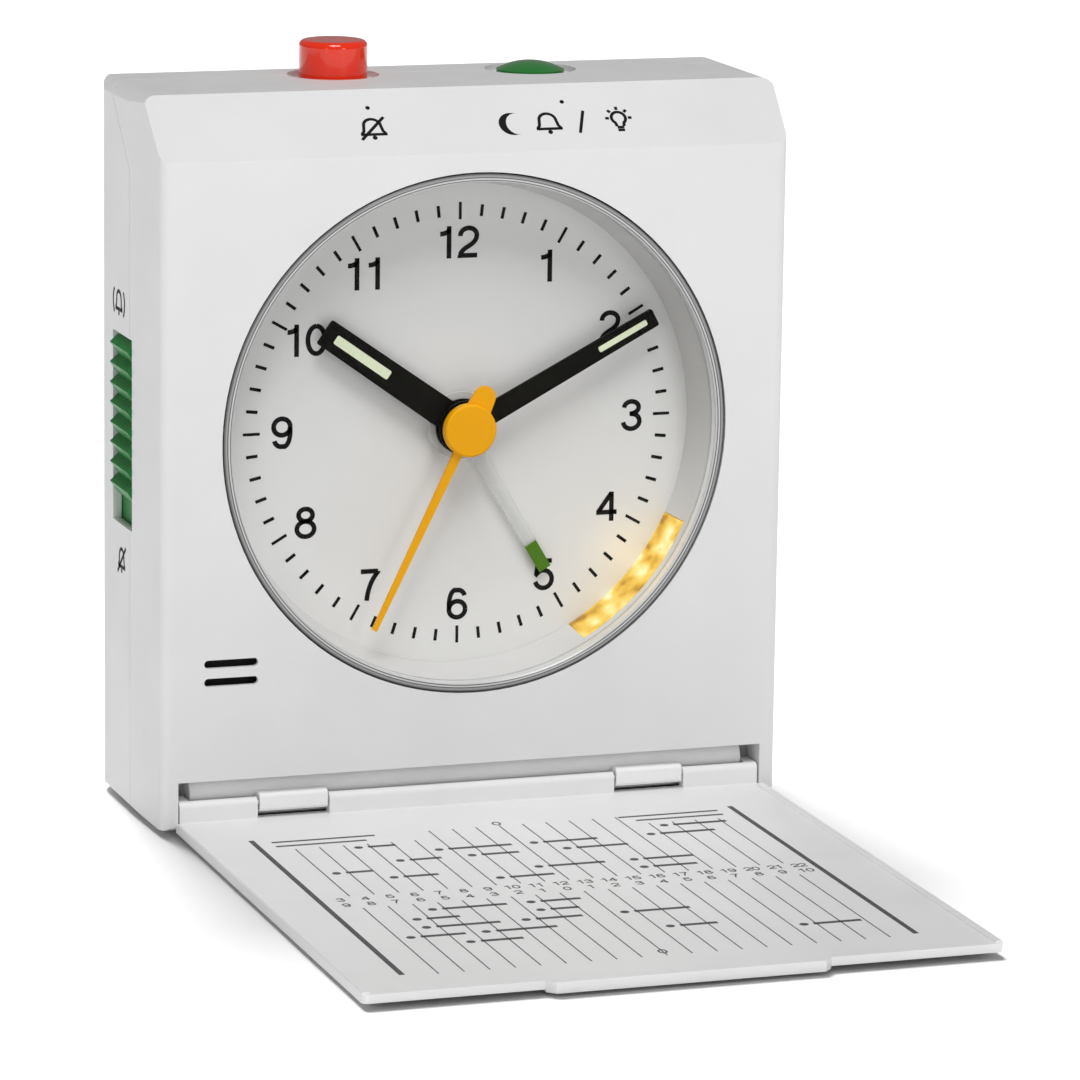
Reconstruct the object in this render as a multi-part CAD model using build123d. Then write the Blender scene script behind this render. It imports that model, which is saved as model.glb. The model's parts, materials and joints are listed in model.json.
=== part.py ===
"""Travel alarm clock with a fold-down front lid.

Units are millimetres. +Z is up, the dial faces -Y and +X is to the right of a person reading it.
The origin is the centre of the rubber base pad, on the surface the clock stands on.
Depths (names starting with d) are measured back from the flat front face of the case.
"""
from build123d import *
import math
import os

# ------------------------------------------------------------------ case
WIDTH = 75.0
HEIGHT = 82.5
DEPTH = 27.5
WALL = 1.8
FOOT_GAP = 0.8                      # the pad lifts the case this far off the table
TOP = FOOT_GAP + HEIGHT
FRONT_NARROWING = 0.5               # each side of the case narrows this much towards the front
FRONT_CORNER = 1.3
REAR_CORNER = 5.0
TOP_SIDE_CORNER = 1.6
REAR_TOP_CORNER = 1.6
BOTTOM_EDGE = 0.5
BEVEL = 6.8                         # 45 degree bevel that carries the button marks
BEVEL_EDGE = 0.5
D_PARTING = 11.65                   # case halves part here on the sides
PARTING_KINK = TOP - 9.0            # above this height the parting runs back along a slope
D_PARTING_TOP = 20.4
PARTING_GAP = 0.14
LIP = 0.8
LIP_REACH = 1.6
HAIR = 0.02

# ------------------------------------------------------------------ base pad
PAD_WIDTH = 62.0
PAD_DEPTH = 17.8
D_PAD = 14.5
PAD_RECESS = 0.5
FRONT_Y = -D_PAD                    # the origin lies under the middle of the pad

# ------------------------------------------------------------------ dial
DIAL_Z = 44.5
OPENING_RADIUS = 29.95
BEZEL_TUBE_RADIUS = 31.6
RING_RADIUS = 29.8
RING_INNER_RADIUS = 28.85
D_RING_BACK = 1.7
LENS_RADIUS = 28.8
D_LENS = 0.25
LENS_THICKNESS = 1.15
D_DIAL = 7.0
DIAL_THICKNESS = 0.8
DIAL_HOLE = 2.35
REHAUT_BASE_RADIUS = 27.8
D_SEAT = 7.85
SEAT_INNER_RADIUS = 27.2
GUIDE_START = 114.8                 # clock angles of the light guide, degrees from twelve
GUIDE_END = 150.4
LAMP_CLOCK_ANGLE = 121.0
LAMP_CIRCLE = 28.6
LAMP = (LAMP_CIRCLE * math.sin(math.radians(LAMP_CLOCK_ANGLE)),
        DIAL_Z + LAMP_CIRCLE * math.cos(math.radians(LAMP_CLOCK_ANGLE)))
LAMP_RADIUS = 0.7
LAMP_HOLE = 1.3
D_LAMP_BACK = 9.3

# ------------------------------------------------------------------ hands, set to about 10:10:34
HOUR_ANGLE = 305.2
MINUTE_ANGLE = 62.2
SECOND_ANGLE = 206.0
ALARM_ANGLE = 149.0
D_ALARM_HAND = (6.05, 6.4)
D_HOUR_HAND = (5.1, 5.6)
D_MINUTE_HAND = (4.0, 4.5)
D_SECOND_HAND = (2.9, 3.4)
D_SECOND_HUB = 2.2
SECOND_ARBOR = 0.5
MINUTE_PIPE = (0.56, 0.95)
HOUR_PIPE = (1.01, 1.40)
ALARM_PIPE = (1.46, 1.90)
RUNNING = 0.06                      # radial clearance of a shaft in its bore

# ------------------------------------------------------------------ gear train
TOOTH_ADDENDUM = 0.78               # in modules
TOOTH_DEDENDUM = 1.15
TOOTH_ROOT_SHARE = 0.27             # half widths as shares of the pitch angle
TOOTH_TIP_SHARE = 0.115
THIRD_DISTANCE = 8.5
THIRD_DIRECTION = 150.0
INTERMEDIATE_DISTANCE = 9.0
INTERMEDIATE_DIRECTION = 25.0
ROTOR_DISTANCE = 7.0
ROTOR_DIRECTION = 75.0
MOTION_DISTANCE = 7.2
MOTION_DIRECTION = -60.0
KNOB_DROP = 4.0                     # knob axes lie this far below the dial centre
ALARM_GEAR_DISTANCE = 11.2

# ------------------------------------------------------------------ movement
D_FRONT_PLATE = (8.65, 9.35)
D_BRIDGE = (14.1, 15.1)
D_BACK_CASE = (9.4, 22.0)
BACK_CASE_WALL = 1.0
BACK_CASE_X = (-20.0, 25.0)
BACK_CASE_Z = (-17.2, 17.2)
PLATE_HALF_X = 25.5
PLATE_HALF_Z = 21.2
SCREW_X = 20.5
SCREW_Z = 19.5

# ------------------------------------------------------------------ knobs on the back
WELL_RADIUS = 5.8
WELL_WALL = 1.1
D_WELL_FLOOR = (22.5, 23.5)
KNOB_RADIUS = 4.7
D_KNOB = (23.8, 27.0)
KNOB_FLUTES = 24

# ------------------------------------------------------------------ top buttons
OFF_X = -11.2
SNOOZE_X = 12.6
D_BUTTON = 20.3
BUTTON_RADIUS = 3.95
BUTTON_BORE = 4.1
RECESS_RADIUS = 5.3
RECESS_DEPTH = 0.7
OFF_PROUD = 4.0
SNOOZE_PROUD = 1.0
FLANGE_RADIUS = 4.7
BOARD_Z = (67.6, 68.6)

# ------------------------------------------------------------------ alarm slider on the left side
D_SLOT = (10.9, 19.1)
SLOT_Z = (33.1, 55.1)
SLIDER_TRAVEL = 2.8
TOOTH_COUNT = 8
TOOTH_PITCH = 2.3
SLIDER_TIP = 0.45                   # ridges stand this far out of the case side
POCKET_DEPTH = 1.0                  # wall left outside the sliding plate

# ------------------------------------------------------------------ lid and hinge
NOTCH_HALF = 35.0
NOTCH_TOP = 6.25
D_NOTCH = 4.7
D_AXIS = 0.85
AXIS_Z = 3.2
FLAP_HALF_THICKNESS = 0.7
LID_HALF = 35.3
LID_REACH = 71.6                    # from the front face to the free edge when open
LID_UNDERSIDE = 0.6
LID_PANEL = 0.95
RIM_HEIGHT = 0.25
RIM_WIDTH = 0.9
TAB_HALF = 15.7
TAB_REACH = 1.0
KNUCKLE_X = 21.4
KNUCKLE_HALF = 4.0
CUTOUT_HALF = 4.25
CUTOUT_FLOOR = 1.5
PIN_RADIUS = 0.4
PIN_SOCKET = 1.6

# ------------------------------------------------------------------ battery bay
CELL_RADIUS = 7.0
CELL_LENGTH = 49.5
CELL_Z = 14.4
D_CELL = 18.2
D_TRAY_BACK = 24.0
COVER_HALF = 29.0
COVER_Z = (4.7, 24.2)
COVER_THICKNESS = 1.4
COVER_GAP = 0.2
BAY_HALF = 27.2
BAY_Z = (6.6, 22.4)

# ------------------------------------------------------------------ case screws and buzzer
BOSS_X = 31.6
BOSS_LOW_Z = 9.6
BOSS_HIGH_Z = 74.6
BOSS_RADIUS = 2.3
BUZZER = (-27.3, 17.6)
BUZZER_RADIUS = 6.4
SLOT_X = (-32.0, -25.7)
SOUND_SLOT_Z = (17.65, 19.75)
SOUND_SLOT_HEIGHT = 0.95
D_SOUND_POCKET = (0.6, 2.0)         # the wall is thinned behind the sound slots
D_FELT = (1.88, 2.22)


# ================================================================== helpers
def y_at(depth):
    return FRONT_Y + depth


def block(x0, x1, d0, d1, z0, z1):
    centre = Pos((x0 + x1) / 2, y_at((d0 + d1) / 2), (z0 + z1) / 2)
    return centre * Box(x1 - x0, d1 - d0, z1 - z0)


def rod_y(radius, d0, d1, x=0.0, z=DIAL_Z):
    return Pos(x, y_at((d0 + d1) / 2), z) * Rot(90, 0, 0) * Cylinder(radius, d1 - d0)


def rod_z(radius, z0, z1, x, depth):
    return Pos(x, y_at(depth), (z0 + z1) / 2) * Cylinder(radius, z1 - z0)


def rod_x(radius, x0, x1, depth, z):
    return Pos((x0 + x1) / 2, y_at(depth), z) * Rot(0, 90, 0) * Cylinder(radius, x1 - x0)


def pipe_y(inner, outer, d0, d1, x=0.0, z=DIAL_Z):
    return rod_y(outer, d0, d1, x, z) - rod_y(inner, d0 - 1, d1 + 1, x, z)


def plate_y(sketch, d0, d1):
    """A flat plate whose outline is drawn in X and Z, lying between two depths."""
    return extrude(Plane.XZ.offset(-y_at(d1)) * sketch, amount=d1 - d0, dir=(0, -1, 0))


def prism_x(points, x0, x1):
    """A prism along X from an outline in depth and Z."""
    outline = polygon([(y_at(d), z) for d, z in points])
    return extrude(Plane.YZ.offset(x0) * outline, amount=x1 - x0, dir=(1, 0, 0))


def polygon(points):
    return make_face(Polyline(*points, close=True))


def clockwise(angle, shape):
    """Turn a shape drawn at twelve o'clock round the dial centre."""
    return Pos(0, 0, DIAL_Z) * Rot(0, angle, 0) * shape


def along(direction, distance, start=(0.0, DIAL_Z)):
    angle = math.radians(direction)
    return start[0] + distance * math.cos(angle), start[1] + distance * math.sin(angle)


def bearing(start, end):
    return math.degrees(math.atan2(end[1] - start[1], end[0] - start[0]))


def save(node, shape):
    export_step(shape, f"parts/{node}.step")


# ================================================================== case shape
def rounded(sketch, corners, radius):
    return fillet(sketch.vertices().filter_by(corners), radius) if radius > 0.05 else sketch


def case_body(inset=0.0):
    """The case as one block: plan, front view and side view outlines, crossed.

    Each view overshoots the one before it by a hair, so that no two faces lie in one plane.
    """
    half = WIDTH / 2 - inset
    front_half = half - FRONT_NARROWING
    y0, y1 = y_at(inset), y_at(DEPTH - inset)
    z0, z1 = FOOT_GAP + inset, TOP - inset
    plan = polygon([(-front_half, y0), (front_half, y0), (half, y_at(D_PARTING)), (half, y1),
                    (-half, y1), (-half, y_at(D_PARTING))])
    plan = rounded(plan, lambda v: v.Y < y0 + 0.01, max(FRONT_CORNER - inset, 0.3))
    plan = rounded(plan, lambda v: v.Y > y1 - 0.01, max(REAR_CORNER - inset, 0.3))
    plan_solid = extrude(Plane.XY.offset(z0 - 1) * plan, amount=z1 - z0 + 2, dir=(0, 0, 1))

    half += HAIR
    front = polygon([(-half, z0), (half, z0), (half, z1), (-half, z1)])
    front = rounded(front, lambda v: v.Y > z1 - 0.01, max(TOP_SIDE_CORNER - inset, 0.3))
    front = rounded(front, lambda v: v.Y < z0 + 0.01, max(BOTTOM_EDGE - inset, 0.2))
    front_solid = extrude(Plane.XZ.offset(-y1 - 1) * front, amount=y1 - y0 + 2, dir=(0, -1, 0))

    y0, y1, z0, z1 = y0 - HAIR, y1 + HAIR, z0 - HAIR, z1 + HAIR
    bevel = BEVEL + 2 * HAIR - inset * (2 - math.sqrt(2))
    side = polygon([(y0, z0), (y1, z0), (y1, z1), (y0 + bevel, z1), (y0, z1 - bevel)])
    side = rounded(side, lambda v: v.X > y1 - 0.01 and v.Y > z1 - 0.01, max(REAR_TOP_CORNER - inset, 0.3))
    side = rounded(side, lambda v: v.Y < z0 + 0.01, max(BOTTOM_EDGE - inset, 0.2))
    side = rounded(side, lambda v: v.X < y0 + 0.01 and v.Y > z0 + 5, BEVEL_EDGE)
    side_solid = extrude(Plane.YZ.offset(-half - 1) * side, amount=2 * half + 2, dir=(1, 0, 0))
    return plan_solid & front_solid & side_solid


def in_front_of_parting(shift=0.0):
    """Everything in front of the parting surface, moved back by shift."""
    slope = (D_PARTING_TOP - D_PARTING) / (TOP - PARTING_KINK)
    over = 5.0
    d_over = D_PARTING_TOP + over * slope
    outline = [(-10, -5), (D_PARTING + shift, -5), (D_PARTING + shift, PARTING_KINK),
               (d_over + shift, TOP + over), (-10, TOP + over)]
    return prism_x(outline, -WIDTH, WIDTH)


def button_cuts():
    cuts = []
    for x in (OFF_X, SNOOZE_X):
        cuts.append(rod_z(RECESS_RADIUS, TOP - RECESS_DEPTH, TOP + 1, x, D_BUTTON))
        cuts.append(rod_z(BUTTON_BORE, TOP - 4, TOP + 1, x, D_BUTTON))
    return cuts


def slider_cuts():
    side = -WIDTH / 2
    slot = block(side - 1, side + 3, D_SLOT[0], D_SLOT[1], SLOT_Z[0], SLOT_Z[1])
    pocket = block(side + POCKET_DEPTH, side + 4.4, D_SLOT[0] - 1.0, D_SLOT[1] + 1.0,
                   SLOT_Z[0] - SLIDER_TRAVEL - 1.3, SLOT_Z[1] + SLIDER_TRAVEL + 1.3)
    return [slot, pocket]


def pad_recess():
    sketch = RectangleRounded(PAD_WIDTH + 0.2, PAD_DEPTH + 0.2, 3.1)
    return extrude(Plane.XY.offset(FOOT_GAP - 1) * sketch, amount=1 + PAD_RECESS)


BOSSES = [(sx * BOSS_X, z) for sx in (-1, 1) for z in (BOSS_LOW_Z, BOSS_HIGH_Z)]
D_BOSS_SPLIT = 13.0
D_SCREW_SEAT = 22.4


def make_front_housing():
    shell = (case_body() - case_body(WALL)) & in_front_of_parting()
    shell += pipe_y(OPENING_RADIUS, BEZEL_TUBE_RADIUS, 0.9, D_SEAT + 0.8)
    shell -= rod_y(OPENING_RADIUS, -1, 3)
    shell += pipe_y(SEAT_INNER_RADIUS, BEZEL_TUBE_RADIUS, D_SEAT, D_SEAT + 0.75)
    shell -= rod_y(LAMP_HOLE, D_SEAT - 0.5, D_SEAT + 2, *LAMP)
    for x, z in BOSSES:
        start = 0.9 if z < DIAL_Z else 5.0
        boss = rod_y(BOSS_RADIUS, start, D_BOSS_SPLIT, x, z)
        web = block(min(x, x * 1.17), max(x, x * 1.17), start, D_PARTING - 1.0, z - 0.5, z + 0.5)
        shell += (boss + web) & case_body(0.9)
        shell -= rod_y(0.85, start + 3.5, D_BOSS_SPLIT + 1, x, z)
    shell -= block(-NOTCH_HALF, NOTCH_HALF, -1, D_NOTCH, -1, NOTCH_TOP)
    notch_lining = (block(-NOTCH_HALF - 1.0, NOTCH_HALF + 1.0, 0.5, D_NOTCH + 1.0, FOOT_GAP, NOTCH_TOP + 1.0)
                    - block(-NOTCH_HALF, NOTCH_HALF, -1, D_NOTCH, -1, NOTCH_TOP))
    shell += notch_lining & case_body(0.3)
    shell -= block(SLOT_X[0] - 0.4, SLOT_X[1] + 0.4, *D_SOUND_POCKET,
                   SOUND_SLOT_Z[0] - 0.9, SOUND_SLOT_Z[1] + 0.9)
    for z in SOUND_SLOT_Z:
        length = SLOT_X[1] - SLOT_X[0]
        sketch = Pos((SLOT_X[0] + SLOT_X[1]) / 2, z) * SlotOverall(length, SOUND_SLOT_HEIGHT)
        shell -= plate_y(sketch, -1, 3)
    holder = pipe_y(BUZZER_RADIUS + 0.05, BUZZER_RADIUS + 0.75, 1.5, 4.2, *BUZZER)
    shell += holder & case_body(0.9)
    for cut in button_cuts() + slider_cuts():
        shell -= cut
    shell -= pad_recess()
    lip_room = (case_body(WALL - 0.05) - case_body(WALL + LIP + 0.1)) & in_front_of_parting(0.1)
    lip_room -= in_front_of_parting(-LIP_REACH - 0.2)
    return shell - lip_room


def make_rear_housing():
    behind = case_body() - in_front_of_parting(PARTING_GAP)
    shell = behind - case_body(WALL)
    lip = (case_body(WALL + 0.03) - case_body(WALL + LIP)) & in_front_of_parting(2.5)
    lip -= in_front_of_parting(-LIP_REACH)
    lip_root = (case_body(WALL - 0.4) - case_body(WALL + LIP)) & in_front_of_parting(2.5)
    lip_root -= in_front_of_parting(PARTING_GAP + 0.2)
    shell += lip + lip_root
    d_inner = DEPTH - WALL
    for x in (knob_x(1), knob_x(-1)):
        z = DIAL_Z - KNOB_DROP
        shell += rod_y(WELL_RADIUS + WELL_WALL, D_WELL_FLOOR[0], d_inner + 0.4, x, z)
        shell -= rod_y(WELL_RADIUS, D_WELL_FLOOR[1], DEPTH + 1, x, z)
        shell -= rod_y(KNOB_SHAFT + RUNNING, D_WELL_FLOOR[0] - 1, DEPTH, x, z)
    for x, z in BOSSES:
        boss = rod_y(BOSS_RADIUS + 0.6, D_BOSS_SPLIT + 0.1, DEPTH - 0.6, x, z)
        shell += boss & case_body(0.4)
        shell -= rod_y(1.15, D_BOSS_SPLIT - 1, DEPTH, x, z)
        shell -= rod_y(2.15, D_SCREW_SEAT, DEPTH + 1, x, z)
    frame_block = block(-COVER_HALF - 1.6, COVER_HALF + 1.6, 24.2, DEPTH - 0.5,
                        COVER_Z[0] - 1.6, COVER_Z[1] + 1.6)
    shell += frame_block & case_body(0.4)
    shell -= block(-BAY_HALF, BAY_HALF, 20, DEPTH + 1, BAY_Z[0], BAY_Z[1])
    shell -= block(-COVER_HALF - COVER_GAP, COVER_HALF + COVER_GAP, DEPTH - COVER_THICKNESS - 0.15, DEPTH + 1,
                   COVER_Z[0] - COVER_GAP, COVER_Z[1] + COVER_GAP)
    shell -= rod_x(0.5, -COVER_HALF - 1.2, COVER_HALF + 1.2, D_COVER_AXIS, COVER_AXIS_Z)
    shell -= rod_y(3.2, DEPTH - COVER_THICKNESS - 0.15, DEPTH + 1, 0, COVER_Z[1] + 0.6)
    for x in (OFF_X, SNOOZE_X):
        shell -= rod_z(FLANGE_RADIUS + 0.3, TOP - 6, TOP - WALL, x, D_BUTTON)
    for cut in button_cuts() + slider_cuts():
        shell -= cut
    return shell - pad_recess()


def knob_x(side):
    return side * math.sqrt(ALARM_GEAR_DISTANCE ** 2 - KNOB_DROP ** 2)


KNOB_SHAFT = 1.0
D_COVER_AXIS = DEPTH - COVER_THICKNESS / 2
COVER_AXIS_Z = COVER_Z[0] + COVER_THICKNESS / 2


# ================================================================== dial side
def make_lens_ring():
    ring = pipe_y(RING_INNER_RADIUS, RING_RADIUS, 0.0, D_RING_BACK)
    return chamfer(ring.edges().filter_by(GeomType.CIRCLE).group_by(Axis.Y)[0], 0.18)


def make_lens():
    disc = rod_y(LENS_RADIUS, D_LENS, D_LENS + LENS_THICKNESS)
    return chamfer(disc.edges().filter_by(GeomType.CIRCLE).group_by(Axis.Y)[0], 0.15)


def sector(radius, start, end, d0, d1):
    """A pie slice between two clock angles."""
    steps = 6
    arc = [start + (end - start) * i / steps for i in range(steps + 1)]
    points = [(0.0, 0.0)]
    points += [(radius * math.sin(math.radians(a)), radius * math.cos(math.radians(a))) for a in arc]
    return Pos(0, 0, DIAL_Z) * plate_y(polygon(points), d0, d1)


def rehaut_blank():
    """Full ring with a funnel bore that narrows towards the dial."""
    d0, d1 = D_RING_BACK + 0.05, D_DIAL - 0.03
    funnel = Pos(0, y_at((d0 + d1) / 2), DIAL_Z) * Rot(90, 0, 0) * Cone(
        REHAUT_BASE_RADIUS, RING_INNER_RADIUS - 0.1, d1 - d0)
    return rod_y(RING_RADIUS, d0, d1) - funnel


GUIDE_D = (2.6, D_DIAL - 0.03)


def make_rehaut():
    return rehaut_blank() - sector(40, GUIDE_START - 0.25, GUIDE_END + 0.25, GUIDE_D[0] - 0.1, GUIDE_D[1] + 1)


def make_light_guide():
    arc = rehaut_blank() & sector(40, GUIDE_START, GUIDE_END, GUIDE_D[0], GUIDE_D[1])
    return arc


def make_dial():
    dial = rod_y(RING_RADIUS, D_DIAL, D_DIAL + DIAL_THICKNESS) - rod_y(DIAL_HOLE, D_DIAL - 1, D_DIAL + 2)
    return dial - rod_y(LAMP_RADIUS + 0.1, D_DIAL - 1, D_DIAL + 2, *LAMP)


def make_led():
    """Small lamp that fires forward through the dial edge into the light guide."""
    d_dome = D_DIAL + LAMP_RADIUS + 0.05
    x, z = LAMP
    lamp = Pos(x, y_at(d_dome), z) * Sphere(LAMP_RADIUS) + rod_y(LAMP_RADIUS, d_dome, D_LAMP_BACK, x, z)
    return lamp + rod_y(LAMP_HOLE - 0.15, D_LAMP_BACK - 0.6, D_LAMP_BACK, x, z)


# ================================================================== hands
def hand(length, tip_width, root_width, hub_radius, d0, d1, corner=0.25):
    blade = polygon([(-root_width / 2, 0), (root_width / 2, 0),
                     (tip_width / 2, length), (-tip_width / 2, length)])
    blade = fillet(blade.vertices().filter_by(lambda v: v.Y > 1), corner)
    return plate_y(blade + Circle(hub_radius), d0, d1)


def lume_bar(width, start, end, d0, d1):
    sketch = Pos(0, (start + end) / 2) * RectangleRounded(width, end - start, 0.2)
    return plate_y(sketch, d0, d1)


LUME_DEPTH = 0.25
HOUR_LUME = (1.1, 10.9, 18.7)
MINUTE_LUME = (0.68, 17.9, 24.4)


def make_hands():
    d0, d1 = D_HOUR_HAND
    hour = hand(20.2, 3.2, 3.5, 3.2, d0, d1) - lume_bar(*HOUR_LUME, d0 - 1, d0 + LUME_DEPTH)
    hour = clockwise(HOUR_ANGLE, hour) + rod_y(HOUR_PIPE[1] + 0.7, d0, d1 + 0.25)
    hour -= rod_y(HOUR_PIPE[1], 0, 12)
    save("hour_hand", hour)
    save("hour_hand_lume", clockwise(HOUR_ANGLE, lume_bar(*HOUR_LUME, d0, d0 + LUME_DEPTH)))

    d0, d1 = D_MINUTE_HAND
    minute = hand(25.6, 2.1, 2.45, 3.15, d0, d1) - lume_bar(*MINUTE_LUME, d0 - 1, d0 + LUME_DEPTH)
    minute = clockwise(MINUTE_ANGLE, minute) + rod_y(MINUTE_PIPE[1] + 0.6, d0, d1 + 0.25)
    minute -= rod_y(MINUTE_PIPE[1], 0, 12)
    save("minute_hand", minute)
    save("minute_hand_lume", clockwise(MINUTE_ANGLE, lume_bar(*MINUTE_LUME, d0, d0 + LUME_DEPTH)))

    d0, d1 = D_SECOND_HAND
    blade = polygon([(-0.55, 0), (0.55, 0), (0.28, 25.3), (-0.28, 25.3)])
    stub = polygon([(-1.7, 0), (1.7, 0), (1.3, -4.1), (-1.3, -4.1)]) + Pos(0, -4.1) * Circle(1.3)
    second = plate_y(blade + stub, d0, d1)
    hub = rod_y(3.05, D_SECOND_HUB, d1)
    hub = fillet(hub.edges().filter_by(GeomType.CIRCLE).group_by(Axis.Y)[0], 0.3)
    second = clockwise(SECOND_ANGLE, second) + hub - rod_y(SECOND_ARBOR, D_SECOND_HUB + 0.5, 12)
    save("second_hand", second)

    d0, d1 = D_ALARM_HAND
    alarm = plate_y(polygon([(-0.9, 0), (0.9, 0), (0.75, 16.6), (-0.75, 16.6)]) + Circle(3.9), d0, d1)
    alarm = clockwise(ALARM_ANGLE, alarm) - rod_y(ALARM_PIPE[1], 0, 12)
    save("alarm_hand", alarm)
    tip = plate_y(polygon([(-0.75, 16.6), (0.75, 16.6), (0.75, 20.2), (-0.75, 20.2)]), d0, d1)
    save("alarm_hand_tip", clockwise(ALARM_ANGLE, tip))


# ================================================================== gear train
def gear(teeth, module, d0, d1, centre, tooth_at, bore=0.0):
    """A spur gear with slim teeth, one of them pointing at the angle tooth_at."""
    pitch = teeth * module / 2
    root, tip = pitch - TOOTH_DEDENDUM * module, pitch + TOOTH_ADDENDUM * module
    step = 360 / teeth
    points = []
    for k in range(teeth):
        middle = tooth_at + k * step
        for radius, share in ((root, -TOOTH_ROOT_SHARE), (tip, -TOOTH_TIP_SHARE),
                              (tip, TOOTH_TIP_SHARE), (root, TOOTH_ROOT_SHARE)):
            a = math.radians(middle + share * step)
            points.append((radius * math.cos(a), radius * math.sin(a)))
    solid = Pos(centre[0], 0, centre[1]) * plate_y(polygon(points), d0, d1)
    return solid - rod_y(bore, d0 - 1, d1 + 1, *centre) if bore else solid


def mesh_angle(tooth_at, teeth, centre, mate_teeth, mate_centre):
    """Tooth angle of the mate so that its gap takes the nearest tooth of this gear."""
    line = bearing(centre, mate_centre)
    lead = (line - tooth_at) % (360 / teeth)
    return line + 180 + lead * teeth / mate_teeth + 180 / mate_teeth


CENTRE = (0.0, DIAL_Z)
THIRD = along(THIRD_DIRECTION, THIRD_DISTANCE)
INTERMEDIATE = along(INTERMEDIATE_DIRECTION, INTERMEDIATE_DISTANCE)
ROTOR = along(ROTOR_DIRECTION, ROTOR_DISTANCE, INTERMEDIATE)
MOTION = along(MOTION_DIRECTION, MOTION_DISTANCE)
TIME_KNOB = (MOTION[0] + math.sqrt(MOTION_DISTANCE ** 2 - (DIAL_Z - KNOB_DROP - MOTION[1]) ** 2),
             DIAL_Z - KNOB_DROP)
ALARM_KNOB = (knob_x(-1), DIAL_Z - KNOB_DROP)
PIVOT = 0.35
FINE = 0.25
MEDIUM = 0.3
THIRD_MODULE = 2 * THIRD_DISTANCE / (8 + 64)
THIRD_WHEEL_MODULE = 2 * THIRD_DISTANCE / (8 + 60)
HOUR_MODULE = 2 * MOTION_DISTANCE / (10 + 40)
ALARM_MODULE = 2 * ALARM_GEAR_DISTANCE / (36 + 20)


def make_going_train():
    second = gear(50, MEDIUM, 18.2, 18.8, CENTRE, 0)
    second += gear(8, THIRD_WHEEL_MODULE, 16.5, 18.3, CENTRE, 0)
    second += rod_y(SECOND_ARBOR, D_SECOND_HUB + 0.5, 20.4) + rod_y(PIVOT, 20.3, 21.9)
    save("second_wheel", second)

    third = gear(60, THIRD_WHEEL_MODULE, 16.7, 17.3, THIRD, mesh_angle(0, 8, CENTRE, 60, THIRD))
    pinion_angle = 11.0
    third += gear(8, THIRD_MODULE, 15.35, 16.8, THIRD, pinion_angle)
    third += rod_y(PIVOT, 14.3, 21.9, *THIRD)
    save("third_wheel", third)
    centre_angle = mesh_angle(pinion_angle, 8, THIRD, 64, CENTRE)
    centre = gear(64, THIRD_MODULE, 15.5, 16.1, CENTRE, centre_angle, MINUTE_PIPE[1] + RUNNING)
    save("centre_wheel", centre)

    pinion_angle = mesh_angle(0, 50, CENTRE, 10, INTERMEDIATE)
    intermediate = gear(10, MEDIUM, 18.0, 19.4, INTERMEDIATE, pinion_angle)
    intermediate += gear(48, FINE, 19.3, 19.9, INTERMEDIATE, 5.0)
    intermediate += rod_y(PIVOT, 14.3, 21.9, *INTERMEDIATE)
    save("intermediate_wheel", intermediate)
    rotor = gear(8, FINE, 19.1, 20.2, ROTOR, mesh_angle(5.0, 48, INTERMEDIATE, 8, ROTOR))
    rotor += rod_y(2.3, 15.6, 18.2, *ROTOR) + rod_y(0.6, 18.1, 19.2, *ROTOR)
    rotor += rod_y(PIVOT, 14.3, 21.9, *ROTOR)
    save("rotor", rotor)


def make_motion_work():
    cannon_angle = 7.0
    cannon = pipe_y(MINUTE_PIPE[0], MINUTE_PIPE[1], D_MINUTE_HAND[0], 16.3)
    cannon += gear(12, MEDIUM, 12.5, 13.8, CENTRE, cannon_angle, MINUTE_PIPE[0])
    save("minute_arbor", cannon)

    wheel_angle = mesh_angle(cannon_angle, 12, CENTRE, 36, MOTION)
    motion = gear(36, MEDIUM, 12.7, 13.5, MOTION, wheel_angle)
    motion += gear(10, HOUR_MODULE, 11.05, 12.8, MOTION, 4.0)
    motion -= rod_y(PIVOT + 0.2 + RUNNING, 10, 15, *MOTION)
    save("motion_wheel", motion)
    hour = gear(40, HOUR_MODULE, 11.2, 12.0, CENTRE, mesh_angle(4.0, 10, MOTION, 40, CENTRE), HOUR_PIPE[0])
    hour += pipe_y(HOUR_PIPE[0], HOUR_PIPE[1], D_HOUR_HAND[0], 12.0)
    save("hour_wheel", hour)

    pinion = gear(12, MEDIUM, 12.6, 13.6, TIME_KNOB, mesh_angle(wheel_angle, 36, MOTION, 12, TIME_KNOB))
    save("time_set_knob", knob(pinion, TIME_KNOB, 9.9))


def make_alarm_work():
    alarm = gear(36, ALARM_MODULE, 9.8, 10.6, CENTRE, 0, ALARM_PIPE[0])
    alarm += pipe_y(ALARM_PIPE[0], ALARM_PIPE[1], D_ALARM_HAND[0], 10.6)
    save("alarm_wheel", alarm)
    pinion = gear(20, ALARM_MODULE, 9.75, 10.7, ALARM_KNOB, mesh_angle(0, 36, CENTRE, 20, ALARM_KNOB))
    save("alarm_set_knob", knob(pinion, ALARM_KNOB, 9.75))


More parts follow.
